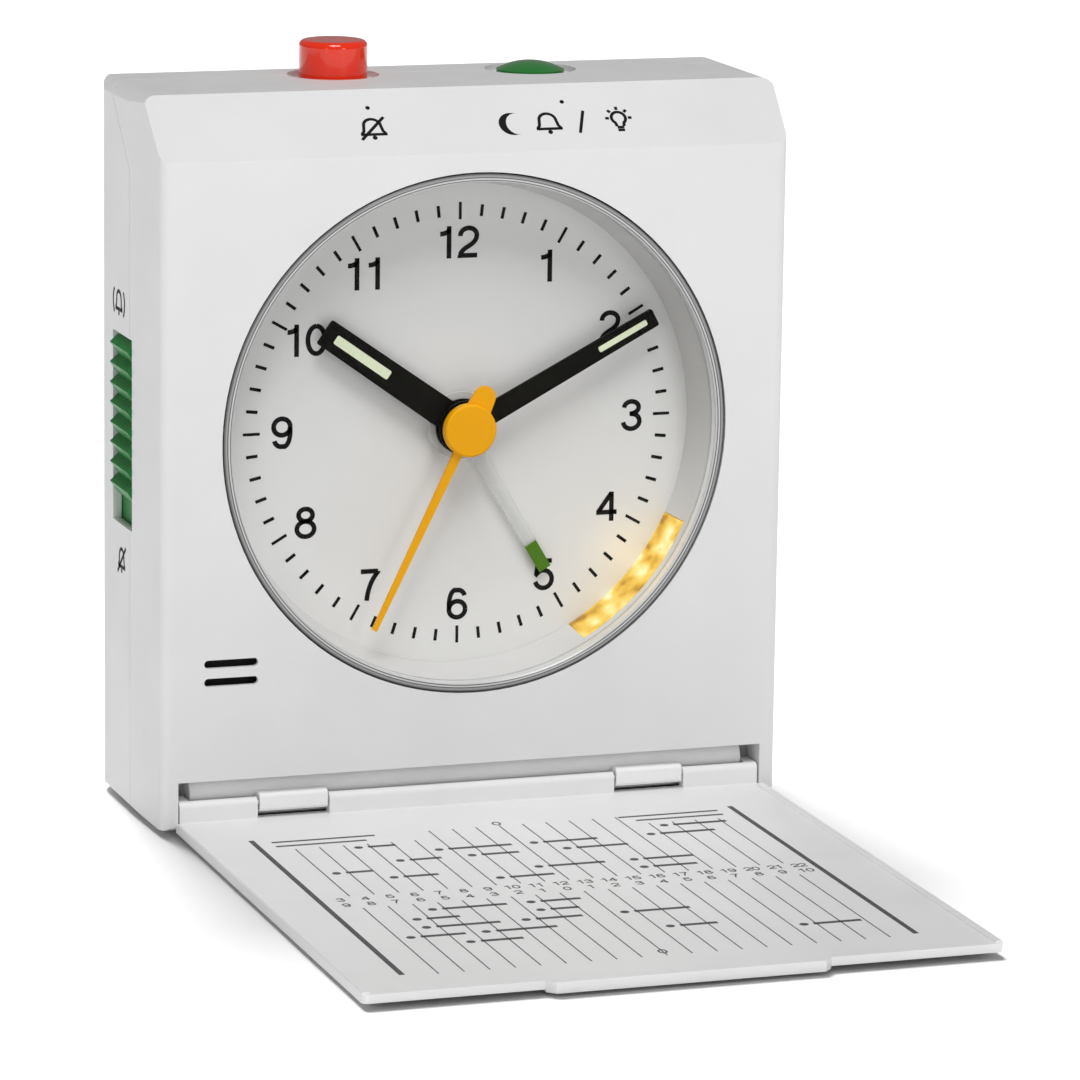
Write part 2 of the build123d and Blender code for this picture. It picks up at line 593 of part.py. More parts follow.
def knob(pinion, centre, d_front):
    """Fluted knob, its shaft and the setting pinion, moulded as one piece."""
    x, z = centre
    body = rod_y(KNOB_RADIUS, *D_KNOB, x, z)
    body = chamfer(body.edges().filter_by(GeomType.CIRCLE).group_by(Axis.Y)[-1], 0.35)
    for k in range(KNOB_FLUTES):
        a = math.radians(k * 360 / KNOB_FLUTES)
        body -= rod_y(0.33, D_KNOB[0] - 1, D_KNOB[1] + 1,
                      x + (KNOB_RADIUS + 0.08) * math.cos(a), z + (KNOB_RADIUS + 0.08) * math.sin(a))
    grip = block(x - 0.8, x + 0.8, D_KNOB[1] - 0.1, D_KNOB[1] + 0.35, z - 3.4, z + 3.4)
    return body + grip + pinion + rod_y(KNOB_SHAFT, d_front, D_KNOB[0] + 0.5, x, z)


def make_movement():
    plate = plate_y(Pos(0, DIAL_Z) * RectangleRounded(2 * PLATE_HALF_X, 2 * PLATE_HALF_Z, 6), *D_FRONT_PLATE)
    plate = plate & rod_y(30.5, 8, 10)
    plate -= rod_y(ALARM_PIPE[1] + RUNNING, 8, 10)
    plate -= rod_y(LAMP_HOLE, 8, 10, *LAMP)
    for sx in (-1, 1):
        for sz in (-1, 1):
            plate -= rod_y(0.8, 8, 10, sx * SCREW_X, DIAL_Z + sz * SCREW_Z)
    save("movement_front_plate", plate)

    x0, x1 = BACK_CASE_X
    z0, z1 = DIAL_Z + BACK_CASE_Z[0], DIAL_Z + BACK_CASE_Z[1]
    w = BACK_CASE_WALL
    case = block(x0, x1, *D_BACK_CASE, z0, z1)
    case = fillet(case.edges().filter_by(Axis.Y), 2.0)
    inner = block(x0 + w, x1 - w, D_BACK_CASE[0] - 1, D_BACK_CASE[1] - w, z0 + w, z1 - w)
    case -= fillet(inner.edges().filter_by(Axis.Y), 1.2)
    for x in (x0 + w + 1.2, x1 - w - 1.2):
        for z in (z0 + w + 1.2, z1 - w - 1.2):
            case += rod_y(1.3, D_BRIDGE[1] + 0.05, D_BACK_CASE[1] - 0.5, x, z)
    for x, z in (CENTRE, THIRD, INTERMEDIATE, ROTOR):
        case += rod_y(1.1, 20.6, 21.5, x, z)
        case -= rod_y(PIVOT + RUNNING, 20.0, 23, x, z)
    for x, z in (TIME_KNOB, ALARM_KNOB):
        case -= rod_y(KNOB_SHAFT + RUNNING, 20.0, 23, x, z)
    save("movement_back_case", case)

    bridge = block(x0 + w + 0.1, x1 - w - 0.1, *D_BRIDGE, z0 + w + 0.1, z1 - w - 0.1)
    bridge = fillet(bridge.edges().filter_by(Axis.Y), 1.1)
    bridge -= rod_y(MINUTE_PIPE[1] + RUNNING, 13, 16)
    for x, z in (THIRD, INTERMEDIATE, ROTOR):
        bridge -= rod_y(PIVOT + RUNNING, 14.2, 16, x, z)
    for x, z in (TIME_KNOB, ALARM_KNOB):
        bridge -= rod_y(KNOB_SHAFT + RUNNING, 13, 16, x, z)
    bridge += rod_y(PIVOT + 0.2, 10.95, 14.3, *MOTION)
    save("train_bridge", bridge)

    screws = []
    for sx in (-1, 1):
        for sz in (-1, 1):
            x, z = sx * SCREW_X, DIAL_Z + sz * SCREW_Z
            head = rod_y(1.4, D_FRONT_PLATE[1] + 0.02, D_FRONT_PLATE[1] + 0.8, x, z)
            head -= block(x - 1.0, x + 1.0, D_FRONT_PLATE[1] + 0.5, D_FRONT_PLATE[1] + 1, z - 0.2, z + 0.2)
            screws.append(head + rod_y(0.75, D_SEAT + 0.8, D_FRONT_PLATE[1] + 0.1, x, z))
    save("movement_screws", Compound(screws))


COIL_X = 20.6
COIL_Z = (DIAL_Z - 9.5, DIAL_Z + 10.5)
D_COIL = 17.6
D_STATOR = (16.3, 17.1)


def make_motor():
    rx, rz = ROTOR
    z_low, z_high = COIL_Z[0] - 2.4, COIL_Z[1] + 2.4
    x_leg, x_end = (13.2, 16.2), COIL_X + 1.6
    around_rotor = Pos(rx, rz) * RectangleRounded(8.4, 8.4, 1.0)
    leg = polygon([(x_leg[0], z_low), (x_end, z_low), (x_end, z_low + 3), (x_leg[1], z_low + 3),
                   (x_leg[1], z_high), (x_leg[0], z_high)])
    arm = polygon([(x_leg[0], z_high - 3), (x_end, z_high - 3), (x_end, z_high), (x_leg[0], z_high)])
    stator = plate_y(around_rotor + leg + arm, *D_STATOR) - rod_y(2.8, 15, 19, rx, rz)
    save("stator_plate", stator)
    core = block(COIL_X - 1.2, COIL_X + 1.2, D_STATOR[1] + 0.02, D_STATOR[1] + 1.0,
                 COIL_Z[0] - 2.4, COIL_Z[1] + 2.2)
    for z0 in (COIL_Z[0] + 0.8, COIL_Z[1] - 1.6):
        core += block(COIL_X - 2.6, COIL_X + 2.6, D_STATOR[1] + 0.02 - 2.0, D_STATOR[1] + 3.0, z0, z0 + 0.8)
    save("coil_core", core)
    winding = rod_z(2.5, COIL_Z[0] + 1.65, COIL_Z[1] - 1.65, COIL_X, D_COIL)
    winding -= block(COIL_X - 1.21, COIL_X + 1.21, D_STATOR[1] + 0.01, D_STATOR[1] + 1.01,
                     COIL_Z[0] - 3, COIL_Z[1] + 3)
    save("coil_winding", winding)


# ================================================================== electronics and battery
def make_electronics():
    z0, z1 = BOARD_Z
    board = block(-26, 26, 15.2, 25.2, z0, z1)
    board = fillet(board.edges().filter_by(Axis.Z), 1.0)
    for x in (-23.5, 23.5):
        board -= rod_z(1.2, z0 - 1, z1 + 1, x, 22.4)
    save("circuit_board", board)
    for node, x in (("off_switch", OFF_X), ("snooze_switch", SNOOZE_X)):
        body = block(x - 3, x + 3, D_BUTTON - 3, D_BUTTON + 3, z1 + 0.01, z1 + 3.4)
        body = chamfer(body.edges().filter_by(Axis.Z), 1.1)
        save(node, body + rod_z(1.7, z1 + 3.3, z1 + 4.1, x, D_BUTTON))
    chip = block(-3.5, 3.5, 17.5, 23.0, z0 - 1.5, z0 - 0.01)
    save("control_chip", chamfer(chip.edges().group_by(Axis.Z)[0], 0.25))
    crystal = rod_x(1.0, 14.0, 20.2, 20.0, z0 - 1.05) + rod_x(0.8, 13.3, 14.1, 20.0, z0 - 1.05)
    save("quartz_crystal", crystal)

    disc = rod_y(BUZZER_RADIUS, 2.3, 2.6, *BUZZER) + rod_y(4.6, 2.55, 2.85, *BUZZER)
    save("sound_disc", disc)
    save("sound_felt", rod_y(BUZZER_RADIUS - 0.1, *D_FELT, *BUZZER))
    side = -WIDTH / 2
    switch = block(side + 3.4, side + 7.4, 11.9, 17.5, SLOT_Z[0] + 4.0, SLOT_Z[1] - 3.0)
    switch -= block(side + 3.0, side + 5.6, 14.0, 15.4, SLOT_Z[0] + 6.0, SLOT_Z[1] - 5.0)
    save("alarm_switch", switch)


def coil_spring(radius, wire, z0, z1, turns, x, depth):
    height = z1 - z0 - wire
    path = Helix(pitch=height / turns, height=height, radius=radius)
    start = path @ 0
    profile = Plane(origin=start, z_dir=path % 0) * Circle(wire / 2)
    spring = sweep(profile, path=path)
    return Pos(x, y_at(depth), z0 + wire / 2) * spring


def make_battery():
    x0, x1 = -CELL_LENGTH / 2, CELL_LENGTH / 2
    cell = rod_x(CELL_RADIUS, x0, x1 - 0.8, D_CELL, CELL_Z)
    cell = fillet(cell.edges().filter_by(GeomType.CIRCLE), 0.4)
    cell += rod_x(2.7, x1 - 1.0, x1, D_CELL, CELL_Z)
    save("battery_cell", cell)

    trough = rod_x(CELL_RADIUS + 1.1, -BAY_HALF, BAY_HALF, D_CELL, CELL_Z)
    trough += block(-BAY_HALF, BAY_HALF, D_CELL, D_TRAY_BACK, CELL_Z - CELL_RADIUS - 1.1,
                    CELL_Z + CELL_RADIUS + 1.1)
    trough -= rod_x(CELL_RADIUS + 0.15, -BAY_HALF + 1.0, BAY_HALF - 1.0, D_CELL, CELL_Z)
    trough -= block(-BAY_HALF + 1.0, BAY_HALF - 1.0, D_CELL, 26, CELL_Z - CELL_RADIUS - 0.15,
                    CELL_Z + CELL_RADIUS + 0.15)
    trough -= block(-BAY_HALF - 1, BAY_HALF + 1, D_TRAY_BACK, DEPTH, 0, DIAL_Z)
    save("battery_tray", trough)

    plus = block(x1 + 0.05, x1 + 0.45, D_CELL - 4, D_CELL + 4, CELL_Z - 4, CELL_Z + 4)
    plus += block(x1 + 0.05, x1 + 1.0, D_CELL - 4, D_CELL - 3.6, CELL_Z - 4, CELL_Z + 4)
    save("battery_contact", plus)
    minus = rod_x(2.6, x0 - 0.6, x0 - 0.15, D_CELL, CELL_Z) - rod_x(2.0, x0 - 1, x0, D_CELL, CELL_Z)
    minus += rod_x(3.2, x0 - 1.05, x0 - 0.6, D_CELL, CELL_Z) - rod_x(2.5, x0 - 2, x0, D_CELL, CELL_Z)
    save("battery_spring", minus)


def make_battery_cover():
    half, z0, z1 = COVER_HALF, COVER_Z[0], COVER_Z[1]
    d0 = DEPTH - COVER_THICKNESS
    plate = block(-half, half, d0, DEPTH, COVER_AXIS_Z, z1)
    plate = fillet(plate.edges().filter_by(Axis.Y).group_by(Axis.Z)[-1], 1.2)
    cover = plate + rod_x(COVER_THICKNESS / 2, -half, half, D_COVER_AXIS, COVER_AXIS_Z)
    cover += rod_x(0.45, -half - 0.9, half + 0.9, D_COVER_AXIS, COVER_AXIS_Z)
    for i in range(5):
        z = z1 - 4.2 - 1.3 * i
        cover -= block(-9, 9, DEPTH - 0.35, DEPTH + 1, z, z + 0.6)
    cover += block(-2.4, 2.4, d0 - 0.9, d0 + 0.1, z1 - 3.6, z1 - 2.4)
    save("battery_cover", cover)


# ================================================================== controls
def make_button(node, spring_node, x, proud, dome):
    top = TOP + proud
    under = TOP - WALL
    cap = rod_z(BUTTON_RADIUS, under - 0.3, top, x, D_BUTTON)
    edge = cap.edges().filter_by(GeomType.CIRCLE).group_by(Axis.Z)[-1]
    if dome:
        radius = (BUTTON_RADIUS ** 2 + proud ** 2) / (2 * proud)
        cap = cap & (Pos(x, y_at(D_BUTTON), top - radius) * Sphere(radius))
        cap += rod_z(BUTTON_RADIUS, under - 0.3, TOP - 0.05, x, D_BUTTON)
    else:
        cap = fillet(edge, 0.7)
    cap += rod_z(FLANGE_RADIUS, under - 1.1, under - 0.25, x, D_BUTTON)
    cap += rod_z(1.5, BOARD_Z[1] + 5.6, under - 1.0, x, D_BUTTON)
    save(node, cap)
    save(spring_node, coil_spring(3.9, 0.35, BOARD_Z[1] + 0.05, under - 1.15, 5, x, D_BUTTON))


def make_alarm_slider():
    side = -WIDTH / 2
    d0, d1 = D_SLOT[0] + 0.25, D_SLOT[1] - 0.25
    z_high = SLOT_Z[1] - 0.52
    z_low = z_high - TOOTH_COUNT * TOOTH_PITCH
    tip, valley, base = side - SLIDER_TIP, side + 0.55, side + POCKET_DEPTH + 0.2
    points = [(base, z_low), (valley, z_low)]
    for k in range(TOOTH_COUNT):
        z = z_low + k * TOOTH_PITCH
        points += [(tip, z + 0.62 * TOOTH_PITCH), (valley, z + TOOTH_PITCH)]
    points[-1] = (valley, z_high - 0.01)
    points.append((base, z_high))
    grip = plate_y(polygon(points), d0, d1)
    plate = block(side + POCKET_DEPTH + 0.1, side + POCKET_DEPTH + 1.0, D_SLOT[0] - 0.7, D_SLOT[1] + 0.7,
                  SLOT_Z[0] - 0.6, SLOT_Z[1] + SLIDER_TRAVEL + 0.8)
    peg = block(side + POCKET_DEPTH + 0.9, side + 5.2, 14.15, 15.25, SLOT_Z[1] - 7.6, SLOT_Z[1] - 5.6)
    save("alarm_slider", grip + plate + peg)


# ================================================================== lid and hinge
def make_lid():
    y_front = -LID_REACH
    z0, z1 = LID_UNDERSIDE, LID_UNDERSIDE + LID_PANEL
    panel = block(-LID_HALF, LID_HALF, y_front, -0.1, z0, z1)
    panel = fillet(panel.edges().filter_by(Axis.Z).group_by(Axis.Y)[0], 0.6)
    d_rim = -1.0
    for sx in (-1, 1):
        outer = sx * LID_HALF
        inner = sx * (LID_HALF - RIM_WIDTH)
        rim = block(min(outer, inner), max(outer, inner), y_front + 0.3, d_rim, z1 - 0.1, z1 + RIM_HEIGHT)
        panel += chamfer(rim.edges().filter_by(Axis.Y).group_by(Axis.Z)[-1], 0.15)
    tab = block(-TAB_HALF, TAB_HALF, y_front - TAB_REACH, y_front + 1.5, z0 - 0.25, z1)
    tab = chamfer(tab.edges().filter_by(Axis.Z).group_by(Axis.Y)[0], 0.9)
    panel += tab
    t = FLAP_HALF_THICKNESS
    half = NOTCH_HALF - 0.2
    flap = block(-half, half, D_AXIS - t, D_AXIS + t, z0, AXIS_Z) + rod_x(t, -half, half, D_AXIS, AXIS_Z)
    root = block(-half, half, -0.2, D_AXIS, z0, z1)
    flap += root
    for sx in (-1, 1):
        ear_x = sorted((sx * half, sx * (half - 1.3)))
        ear = block(ear_x[0], ear_x[1], D_AXIS, D_AXIS + 2.6, AXIS_Z - 1.3, AXIS_Z + t)
        flap += ear
        x = sx * KNUCKLE_X
        flap -= block(x - CUTOUT_HALF, x + CUTOUT_HALF, -1, 3, CUTOUT_FLOOR, AXIS_Z + 2)
        flap -= rod_x(PIN_RADIUS, x - CUTOUT_HALF - PIN_SOCKET, x + CUTOUT_HALF + PIN_SOCKET, D_AXIS, AXIS_Z)
    save("lid", panel + flap)
    pins = [rod_x(PIN_RADIUS, sx * KNUCKLE_X - CUTOUT_HALF - PIN_SOCKET, sx * KNUCKLE_X + CUTOUT_HALF + PIN_SOCKET,
                  D_AXIS, AXIS_Z) for sx in (-1, 1)]
    save("hinge_pins", Compound(pins))


def make_hinge_carrier():
    half = NOTCH_HALF - 1.8
    bar = rod_x(1.45, -half, half, 3.05, 4.45)
    bar += block(-half, half, 2.2, D_NOTCH, 1.6, 4.4) + block(-half, half, 3.0, D_NOTCH, 4.3, 5.7)
    for sx in (-1, 1):
        x = sx * KNUCKLE_X
        arm = block(x - KNUCKLE_HALF, x + KNUCKLE_HALF, D_AXIS - 0.75, 2.6, AXIS_Z - 0.95, AXIS_Z + 1.15)
        front = arm.edges().filter_by(Axis.X).group_by(Axis.Y)[0]
        arm = fillet(front, 0.45)
        bar += arm
        bar -= rod_x(PIN_RADIUS + RUNNING, x - KNUCKLE_HALF - 1, x + KNUCKLE_HALF + 1, D_AXIS, AXIS_Z)
    save("hinge_carrier", bar)


def make_fasteners():
    screws = []
    for x, z in BOSSES:
        head = rod_y(1.9, D_SCREW_SEAT + 0.02, D_SCREW_SEAT + 1.3, x, z)
        for angle in (0, 90):
            cross = Pos(x, y_at(D_SCREW_SEAT + 1.2), z) * Rot(0, angle, 0) * Box(2.4, 1.0, 0.45)
            head -= cross
        screws.append(head + rod_y(0.8, 9.0, D_SCREW_SEAT + 0.1, x, z))
    save("case_screws", Compound(screws))


def make_pad():
    pad = extrude(RectangleRounded(PAD_WIDTH, PAD_DEPTH, 3), amount=FOOT_GAP + PAD_RECESS)
    save("base_pad", chamfer(pad.edges().group_by(Axis.Z)[0], 0.2))


# ================================================================== build
os.makedirs("parts", exist_ok=True)
save("front_housing", make_front_housing())
save("rear_housing", make_rear_housing())
make_pad()
save("lens_ring", make_lens_ring())
save("lens", make_lens())
save("rehaut_ring", make_rehaut())
save("light_guide", make_light_guide())
save("dial_plate", make_dial())
save("led_lamp", make_led())
make_hands()
make_going_train()
make_motion_work()
make_alarm_work()
make_movement()
make_motor()
make_electronics()
make_battery()
make_battery_cover()
make_button("off_button", "off_spring", OFF_X, OFF_PROUD, dome=False)
make_button("snooze_button", "snooze_spring", SNOOZE_X, SNOOZE_PROUD, dome=True)
make_alarm_slider()
make_lid()
make_hinge_carrier()
make_fasteners()
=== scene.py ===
"""Looks for the travel alarm clock: materials, printed marks, light, floor and camera."""
import json
import math
import random

import bmesh
import bpy
from mathutils import Matrix, Vector


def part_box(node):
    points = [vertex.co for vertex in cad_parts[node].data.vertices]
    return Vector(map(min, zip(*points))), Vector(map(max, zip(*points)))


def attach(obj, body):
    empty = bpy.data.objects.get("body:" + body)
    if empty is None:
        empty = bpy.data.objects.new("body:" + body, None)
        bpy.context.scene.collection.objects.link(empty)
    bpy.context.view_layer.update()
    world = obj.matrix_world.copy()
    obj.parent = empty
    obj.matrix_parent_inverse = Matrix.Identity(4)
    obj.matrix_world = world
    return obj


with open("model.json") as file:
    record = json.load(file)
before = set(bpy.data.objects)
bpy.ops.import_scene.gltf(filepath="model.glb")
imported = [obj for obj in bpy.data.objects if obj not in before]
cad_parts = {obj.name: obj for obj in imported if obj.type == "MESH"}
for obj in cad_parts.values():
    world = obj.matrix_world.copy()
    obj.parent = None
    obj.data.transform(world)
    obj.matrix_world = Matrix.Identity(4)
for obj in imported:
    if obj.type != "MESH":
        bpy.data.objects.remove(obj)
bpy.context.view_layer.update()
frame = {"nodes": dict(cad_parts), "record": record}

MM = 0.001
PRINT_HEIGHT = 0.02 * MM             # printed ink stands this far proud

# places that follow from the frame
FACE_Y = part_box("front_housing")[0].y
CASE_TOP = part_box("front_housing")[1].z
CASE_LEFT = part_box("front_housing")[0].x
DIAL_LOW, DIAL_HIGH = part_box("dial_plate")
DIAL_Y = DIAL_LOW.y
DIAL_CENTRE = ((DIAL_LOW.x + DIAL_HIGH.x) / 2, (DIAL_LOW.z + DIAL_HIGH.z) / 2)
BEVEL = 6.8 * MM                     # depth and height of the 45 degree bevel
LID_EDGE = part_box("lid")[0].y
LID_PANEL_TOP = 1.55 * MM
RING_PAINTED_LIGHT = (28.8 * MM, 29.85 * MM)  # inner and outer radius of the painted bright and dark rings round the window, standing for light and shade on its moulded edge

# light: direction from the clock, distance, size of the soft box and its watts
SOFT_BOXES = {
    "key": ((-0.05, -0.44, 0.83), 2.0, (0.9, 0.9), 23.5),
    "left_strip": ((-0.62, -0.76, 0.16), 0.8, (0.12, 0.42), 0.25),
    "right_strip": ((0.30, -0.94, 0.14), 0.8, (0.16, 0.42), 0.50),
}
LIGHT_TARGET = Vector((0, 0, 40 * MM))
WORLD_STRENGTH = 0.22
FLOOR_SUN_STRENGTH = 4.4
FLOOR_SUN_ANGLE = math.radians(25)
FLOOR_SUN_TILT = math.radians(-38)   # it comes from behind the clock
FLOOR_HALF_SIZE = 8.0

# warm light from the guide
GLOW_POWER = 0.00013
GLOW_COLOUR = (1.0, 0.62, 0.05)
GLOW_SIZE = 2 * MM
GLOW_TURN = math.radians(128)        # clockwise from twelve
GLOW_RADIUS = 25.0 * MM
GLOW_HEIGHT = 3.5 * MM               # in front of the dial

# dial print
TICK_OUTER = 25.6 * MM
HOUR_TICK_INNER = 23.6 * MM
MINUTE_TICK = (24.0 * MM, 25.35 * MM)
HOUR_TICK_WIDTH = 0.34 * MM
MINUTE_TICK_WIDTH = 0.38 * MM
NUMERAL_CIRCLE = 21.0 * MM
NUMERAL_HEIGHT = 3.7 * MM
NUMERAL_STROKE = 0.150               # share of the numeral height
NUMERAL_WIDEN = 1.18                 # numerals are this much wider than their centre lines are drawn
NUMERAL_ADVANCE = 0.66               # from one digit to the next, as a share of the height
NUMERAL_SHIFT = {1: (0.2 * MM, -0.35 * MM), 11: (-0.6 * MM, -0.4 * MM), 12: (-0.2 * MM, 0)}
DIGIT_MIDDLE = 0.31                  # middle of a digit as it is drawn in digit_strokes
DIAL_TURN = math.radians(-0.15)      # the dial print sits a hair off square

# marks on the bevel and on the side
MARK_WIDTH = 0.36 * MM
MARK_DOT = 0.26 * MM
BEVEL_ICON = 3.1 * MM
BEVEL_ICON_ROW = -0.75 * MM
BEVEL_DOT_ROW = 2.15 * MM
OFF_MARK_X = -11.8 * MM
SNOOZE_MARK_X = 11.2 * MM
SIDE_ICON = 3.0 * MM
SIDE_MARK_WIDTH = 0.42 * MM
SIDE_BELL = Vector((-1.4, 58.6)) * MM
SIDE_CROSSED_BELL = Vector((-0.3, 29.0)) * MM

# lid print
LID_PRINT_NEAR = -23.9 * MM
LID_PRINT_FAR = LID_EDGE + 7.1 * MM
LID_BAR_LEFT = -29.2 * MM
LID_BAR_RIGHT = 27.8 * MM
LID_BAR_WIDTH = 0.62 * MM
LID_LINE_WIDTH = 0.14 * MM
LID_MIDDLE = (LID_PRINT_NEAR + LID_PRINT_FAR) / 2 + 0.3 * MM
LID_COLUMNS = 20
LID_COLUMN_PITCH = (LID_BAR_RIGHT - LID_BAR_LEFT) / (LID_COLUMNS + 0.5)
LID_NUMBER_HEIGHT = 1.35 * MM
LID_NUMBER_STROKE = 0.13
LID_FIRST_ROW = 5.2 * MM             # from the middle of the print to the nearest row of dots
LID_ROW_PITCH = 3.3 * MM             # dots and blank dashes lie on rows this far apart
LID_ROWS = 6                         # rows above the numbers, and as many below
LID_DOT_SHARE = 0.17                 # share of the places on the grid that carry a dot
LID_DOT_RADIUS = 0.50 * MM
LID_DASH_START = 1.1 * MM            # from the dot to the blank dash beside it
LID_DASH_LENGTH = (3.0, 7.5)         # shortest and longest, in millimetres
LID_DASH_WIDTH = 0.70 * MM
LID_SEED = 5

# camera
CAMERA_PLACE = Vector((-0.20463, -0.63198, 0.16804))
CAMERA_YAW = 0.3311                  # radians to the right of straight at the dial
CAMERA_PITCH = 0.2055                # radians downward
CAMERA_ROLL = 0.0138
CAMERA_LENS = 195.1                  # millimetres, for a sensor 36 mm wide


# ------------------------------------------------------------------ node materials
class Shader:
    """A new node material with one Principled shader, and short ways to add to it."""

    def __init__(self, name, colour, roughness, **inputs):
        self.material = bpy.data.materials.new(name)
        self.material.use_nodes = True
        self.tree = self.material.node_tree
        self.bsdf = self.tree.nodes["Principled BSDF"]
        self.bsdf.inputs["Base Color"].default_value = (*colour, 1)
        self.bsdf.inputs["Roughness"].default_value = roughness
        for key, value in inputs.items():
            self.bsdf.inputs[key.replace("_", " ")].default_value = value
        self.coordinates = self.add("ShaderNodeTexCoord").outputs["Object"]
        self.heights = []

    def add(self, kind, **settings):
        node = self.tree.nodes.new(kind)
        for key, value in settings.items():
            setattr(node, key, value)
        return node

    def link(self, source, target):
        self.tree.links.new(source, target)

    def noise(self, size, detail=3.0, roughness=0.55, stretch=(1, 1, 1)):
        """Noise whose blobs are about size metres across."""
        node = self.add("ShaderNodeTexNoise")
        node.inputs["Scale"].default_value = 1 / size
        node.inputs["Detail"].default_value = detail
        node.inputs["Roughness"].default_value = roughness
        scale = self.add("ShaderNodeMapping")
        scale.inputs["Scale"].default_value = stretch
        self.link(self.coordinates, scale.inputs["Vector"])
        self.link(scale.outputs["Vector"], node.inputs["Vector"])
        return node.outputs["Fac"]

    def ramp(self, value, stops):
        """Colours along a value, from pairs of a place and a colour."""
        node = self.add("ShaderNodeValToRGB")
        elements = node.color_ramp.elements
        while len(elements) < len(stops):
            elements.new(0.5)
        for element, (place, colour) in zip(elements, stops):
            element.position = place
            element.color = (*colour, 1)
        self.link(value, node.inputs["Fac"])
        return node.outputs["Color"]

    def mottle(self, size, low, high, detail=3.0):
        """Soft variation between two colours."""
        colours = self.ramp(self.noise(size, detail), [(0.3, low), (0.7, high)])
        self.link(colours, self.bsdf.inputs["Base Color"])

    def uneven_gloss(self, size, low, high):
        """Roughness that wanders between two values."""
        spread = self.add("ShaderNodeMapRange")
        spread.inputs["From Min"].default_value = 0.3
        spread.inputs["From Max"].default_value = 0.7
        spread.inputs["To Min"].default_value = low
        spread.inputs["To Max"].default_value = high
        self.link(self.noise(size), spread.inputs["Value"])
        self.link(spread.outputs["Result"], self.bsdf.inputs["Roughness"])

    def bump(self, value, depth, strength):
        """Adds a height to the ones already there."""
        node = self.add("ShaderNodeBump")
        node.inputs["Strength"].default_value = strength
        node.inputs["Distance"].default_value = depth
        self.link(value, node.inputs["Height"])
        if self.heights:
            self.link(self.heights[-1], node.inputs["Normal"])
        self.heights.append(node.outputs["Normal"])
        self.link(node.outputs["Normal"], self.bsdf.inputs["Normal"])


def shade(rgb, factor):
    """The colour made darker or lighter by a factor."""
    return tuple(min(channel * factor, 1.0) for channel in rgb)


def moulded_plastic(name, colour, roughness, grain=0.10 * MM, depth=0.010 * MM, spread=0.03,
                    gloss=0.06, **inputs):
    """Injection moulded plastic: a fine spark-eroded grain, faint flow marks and uneven gloss."""
    shader = Shader(name, colour, roughness, **inputs)
    shader.mottle(14 * MM, shade(colour, 1 - spread), shade(colour, 1 + spread / 2), detail=4)
    shader.uneven_gloss(5 * MM, roughness - gloss, roughness + gloss)
    shader.bump(shader.noise(6 * MM, 2), 0.02 * MM, 0.3)
    shader.bump(shader.noise(grain, 2), depth, 0.5)
    return shader.material


def glossy_plastic(name, colour, roughness):
    """Polished coloured plastic with a clear shine, as on the two buttons."""
    return moulded_plastic(name, colour, roughness, depth=0.001 * MM, gloss=0.03,
                           Specular_IOR_Level=0.25, Coat_Weight=0.7, Coat_Roughness=0.03)


def metal(name, colour, roughness, stretch=(1, 1, 1)):
    """Plated or turned metal with fine drawing lines."""
    shader = Shader(name, colour, roughness, Metallic=1.0)
    shader.mottle(2 * MM, shade(colour, 0.86), shade(colour, 1.08))
    shader.uneven_gloss(0.6 * MM, roughness - 0.08, roughness + 0.12)
    shader.bump(shader.noise(0.12 * MM, 2, stretch=stretch), 0.004 * MM, 0.5)
    return shader.material


def clear_plastic(name, colour, alpha, roughness=0.05):
    """Clear acrylic window: nearly invisible face on, reflecting at a glancing angle."""
    shader = Shader(name, colour, roughness, Metallic=1.0)
    fresnel = shader.add("ShaderNodeFresnel")
    fresnel.inputs["IOR"].default_value = 1.49
    spread = shader.add("ShaderNodeMapRange")
    spread.inputs["From Min"].default_value = 0.04
    spread.inputs["To Min"].default_value = alpha
    spread.inputs["To Max"].default_value = 0.9
    shader.link(fresnel.outputs[0], spread.inputs["Value"])
    shader.link(spread.outputs["Result"], shader.bsdf.inputs["Alpha"])
    shader.mottle(9 * MM, shade(colour, 0.97), colour)
    shader.uneven_gloss(7 * MM, roughness * 0.6, roughness * 1.6)
    return shader.material


def milky_plastic(name, colour, alpha, edge_alpha, roughness=0.12):
    """Thick clear acrylic: see-through face on, whitish along its edges."""
    shader = Shader(name, colour, roughness, IOR=1.49)
    layer = shader.add("ShaderNodeLayerWeight")
    layer.inputs["Blend"].default_value = 0.35
    spread = shader.add("ShaderNodeMapRange")
    spread.inputs["To Min"].default_value = alpha
    spread.inputs["To Max"].default_value = edge_alpha
    shader.link(layer.outputs["Facing"], spread.inputs["Value"])
    shader.link(spread.outputs["Result"], shader.bsdf.inputs["Alpha"])
    shader.mottle(3 * MM, shade(colour, 0.94), colour)
    return shader.material


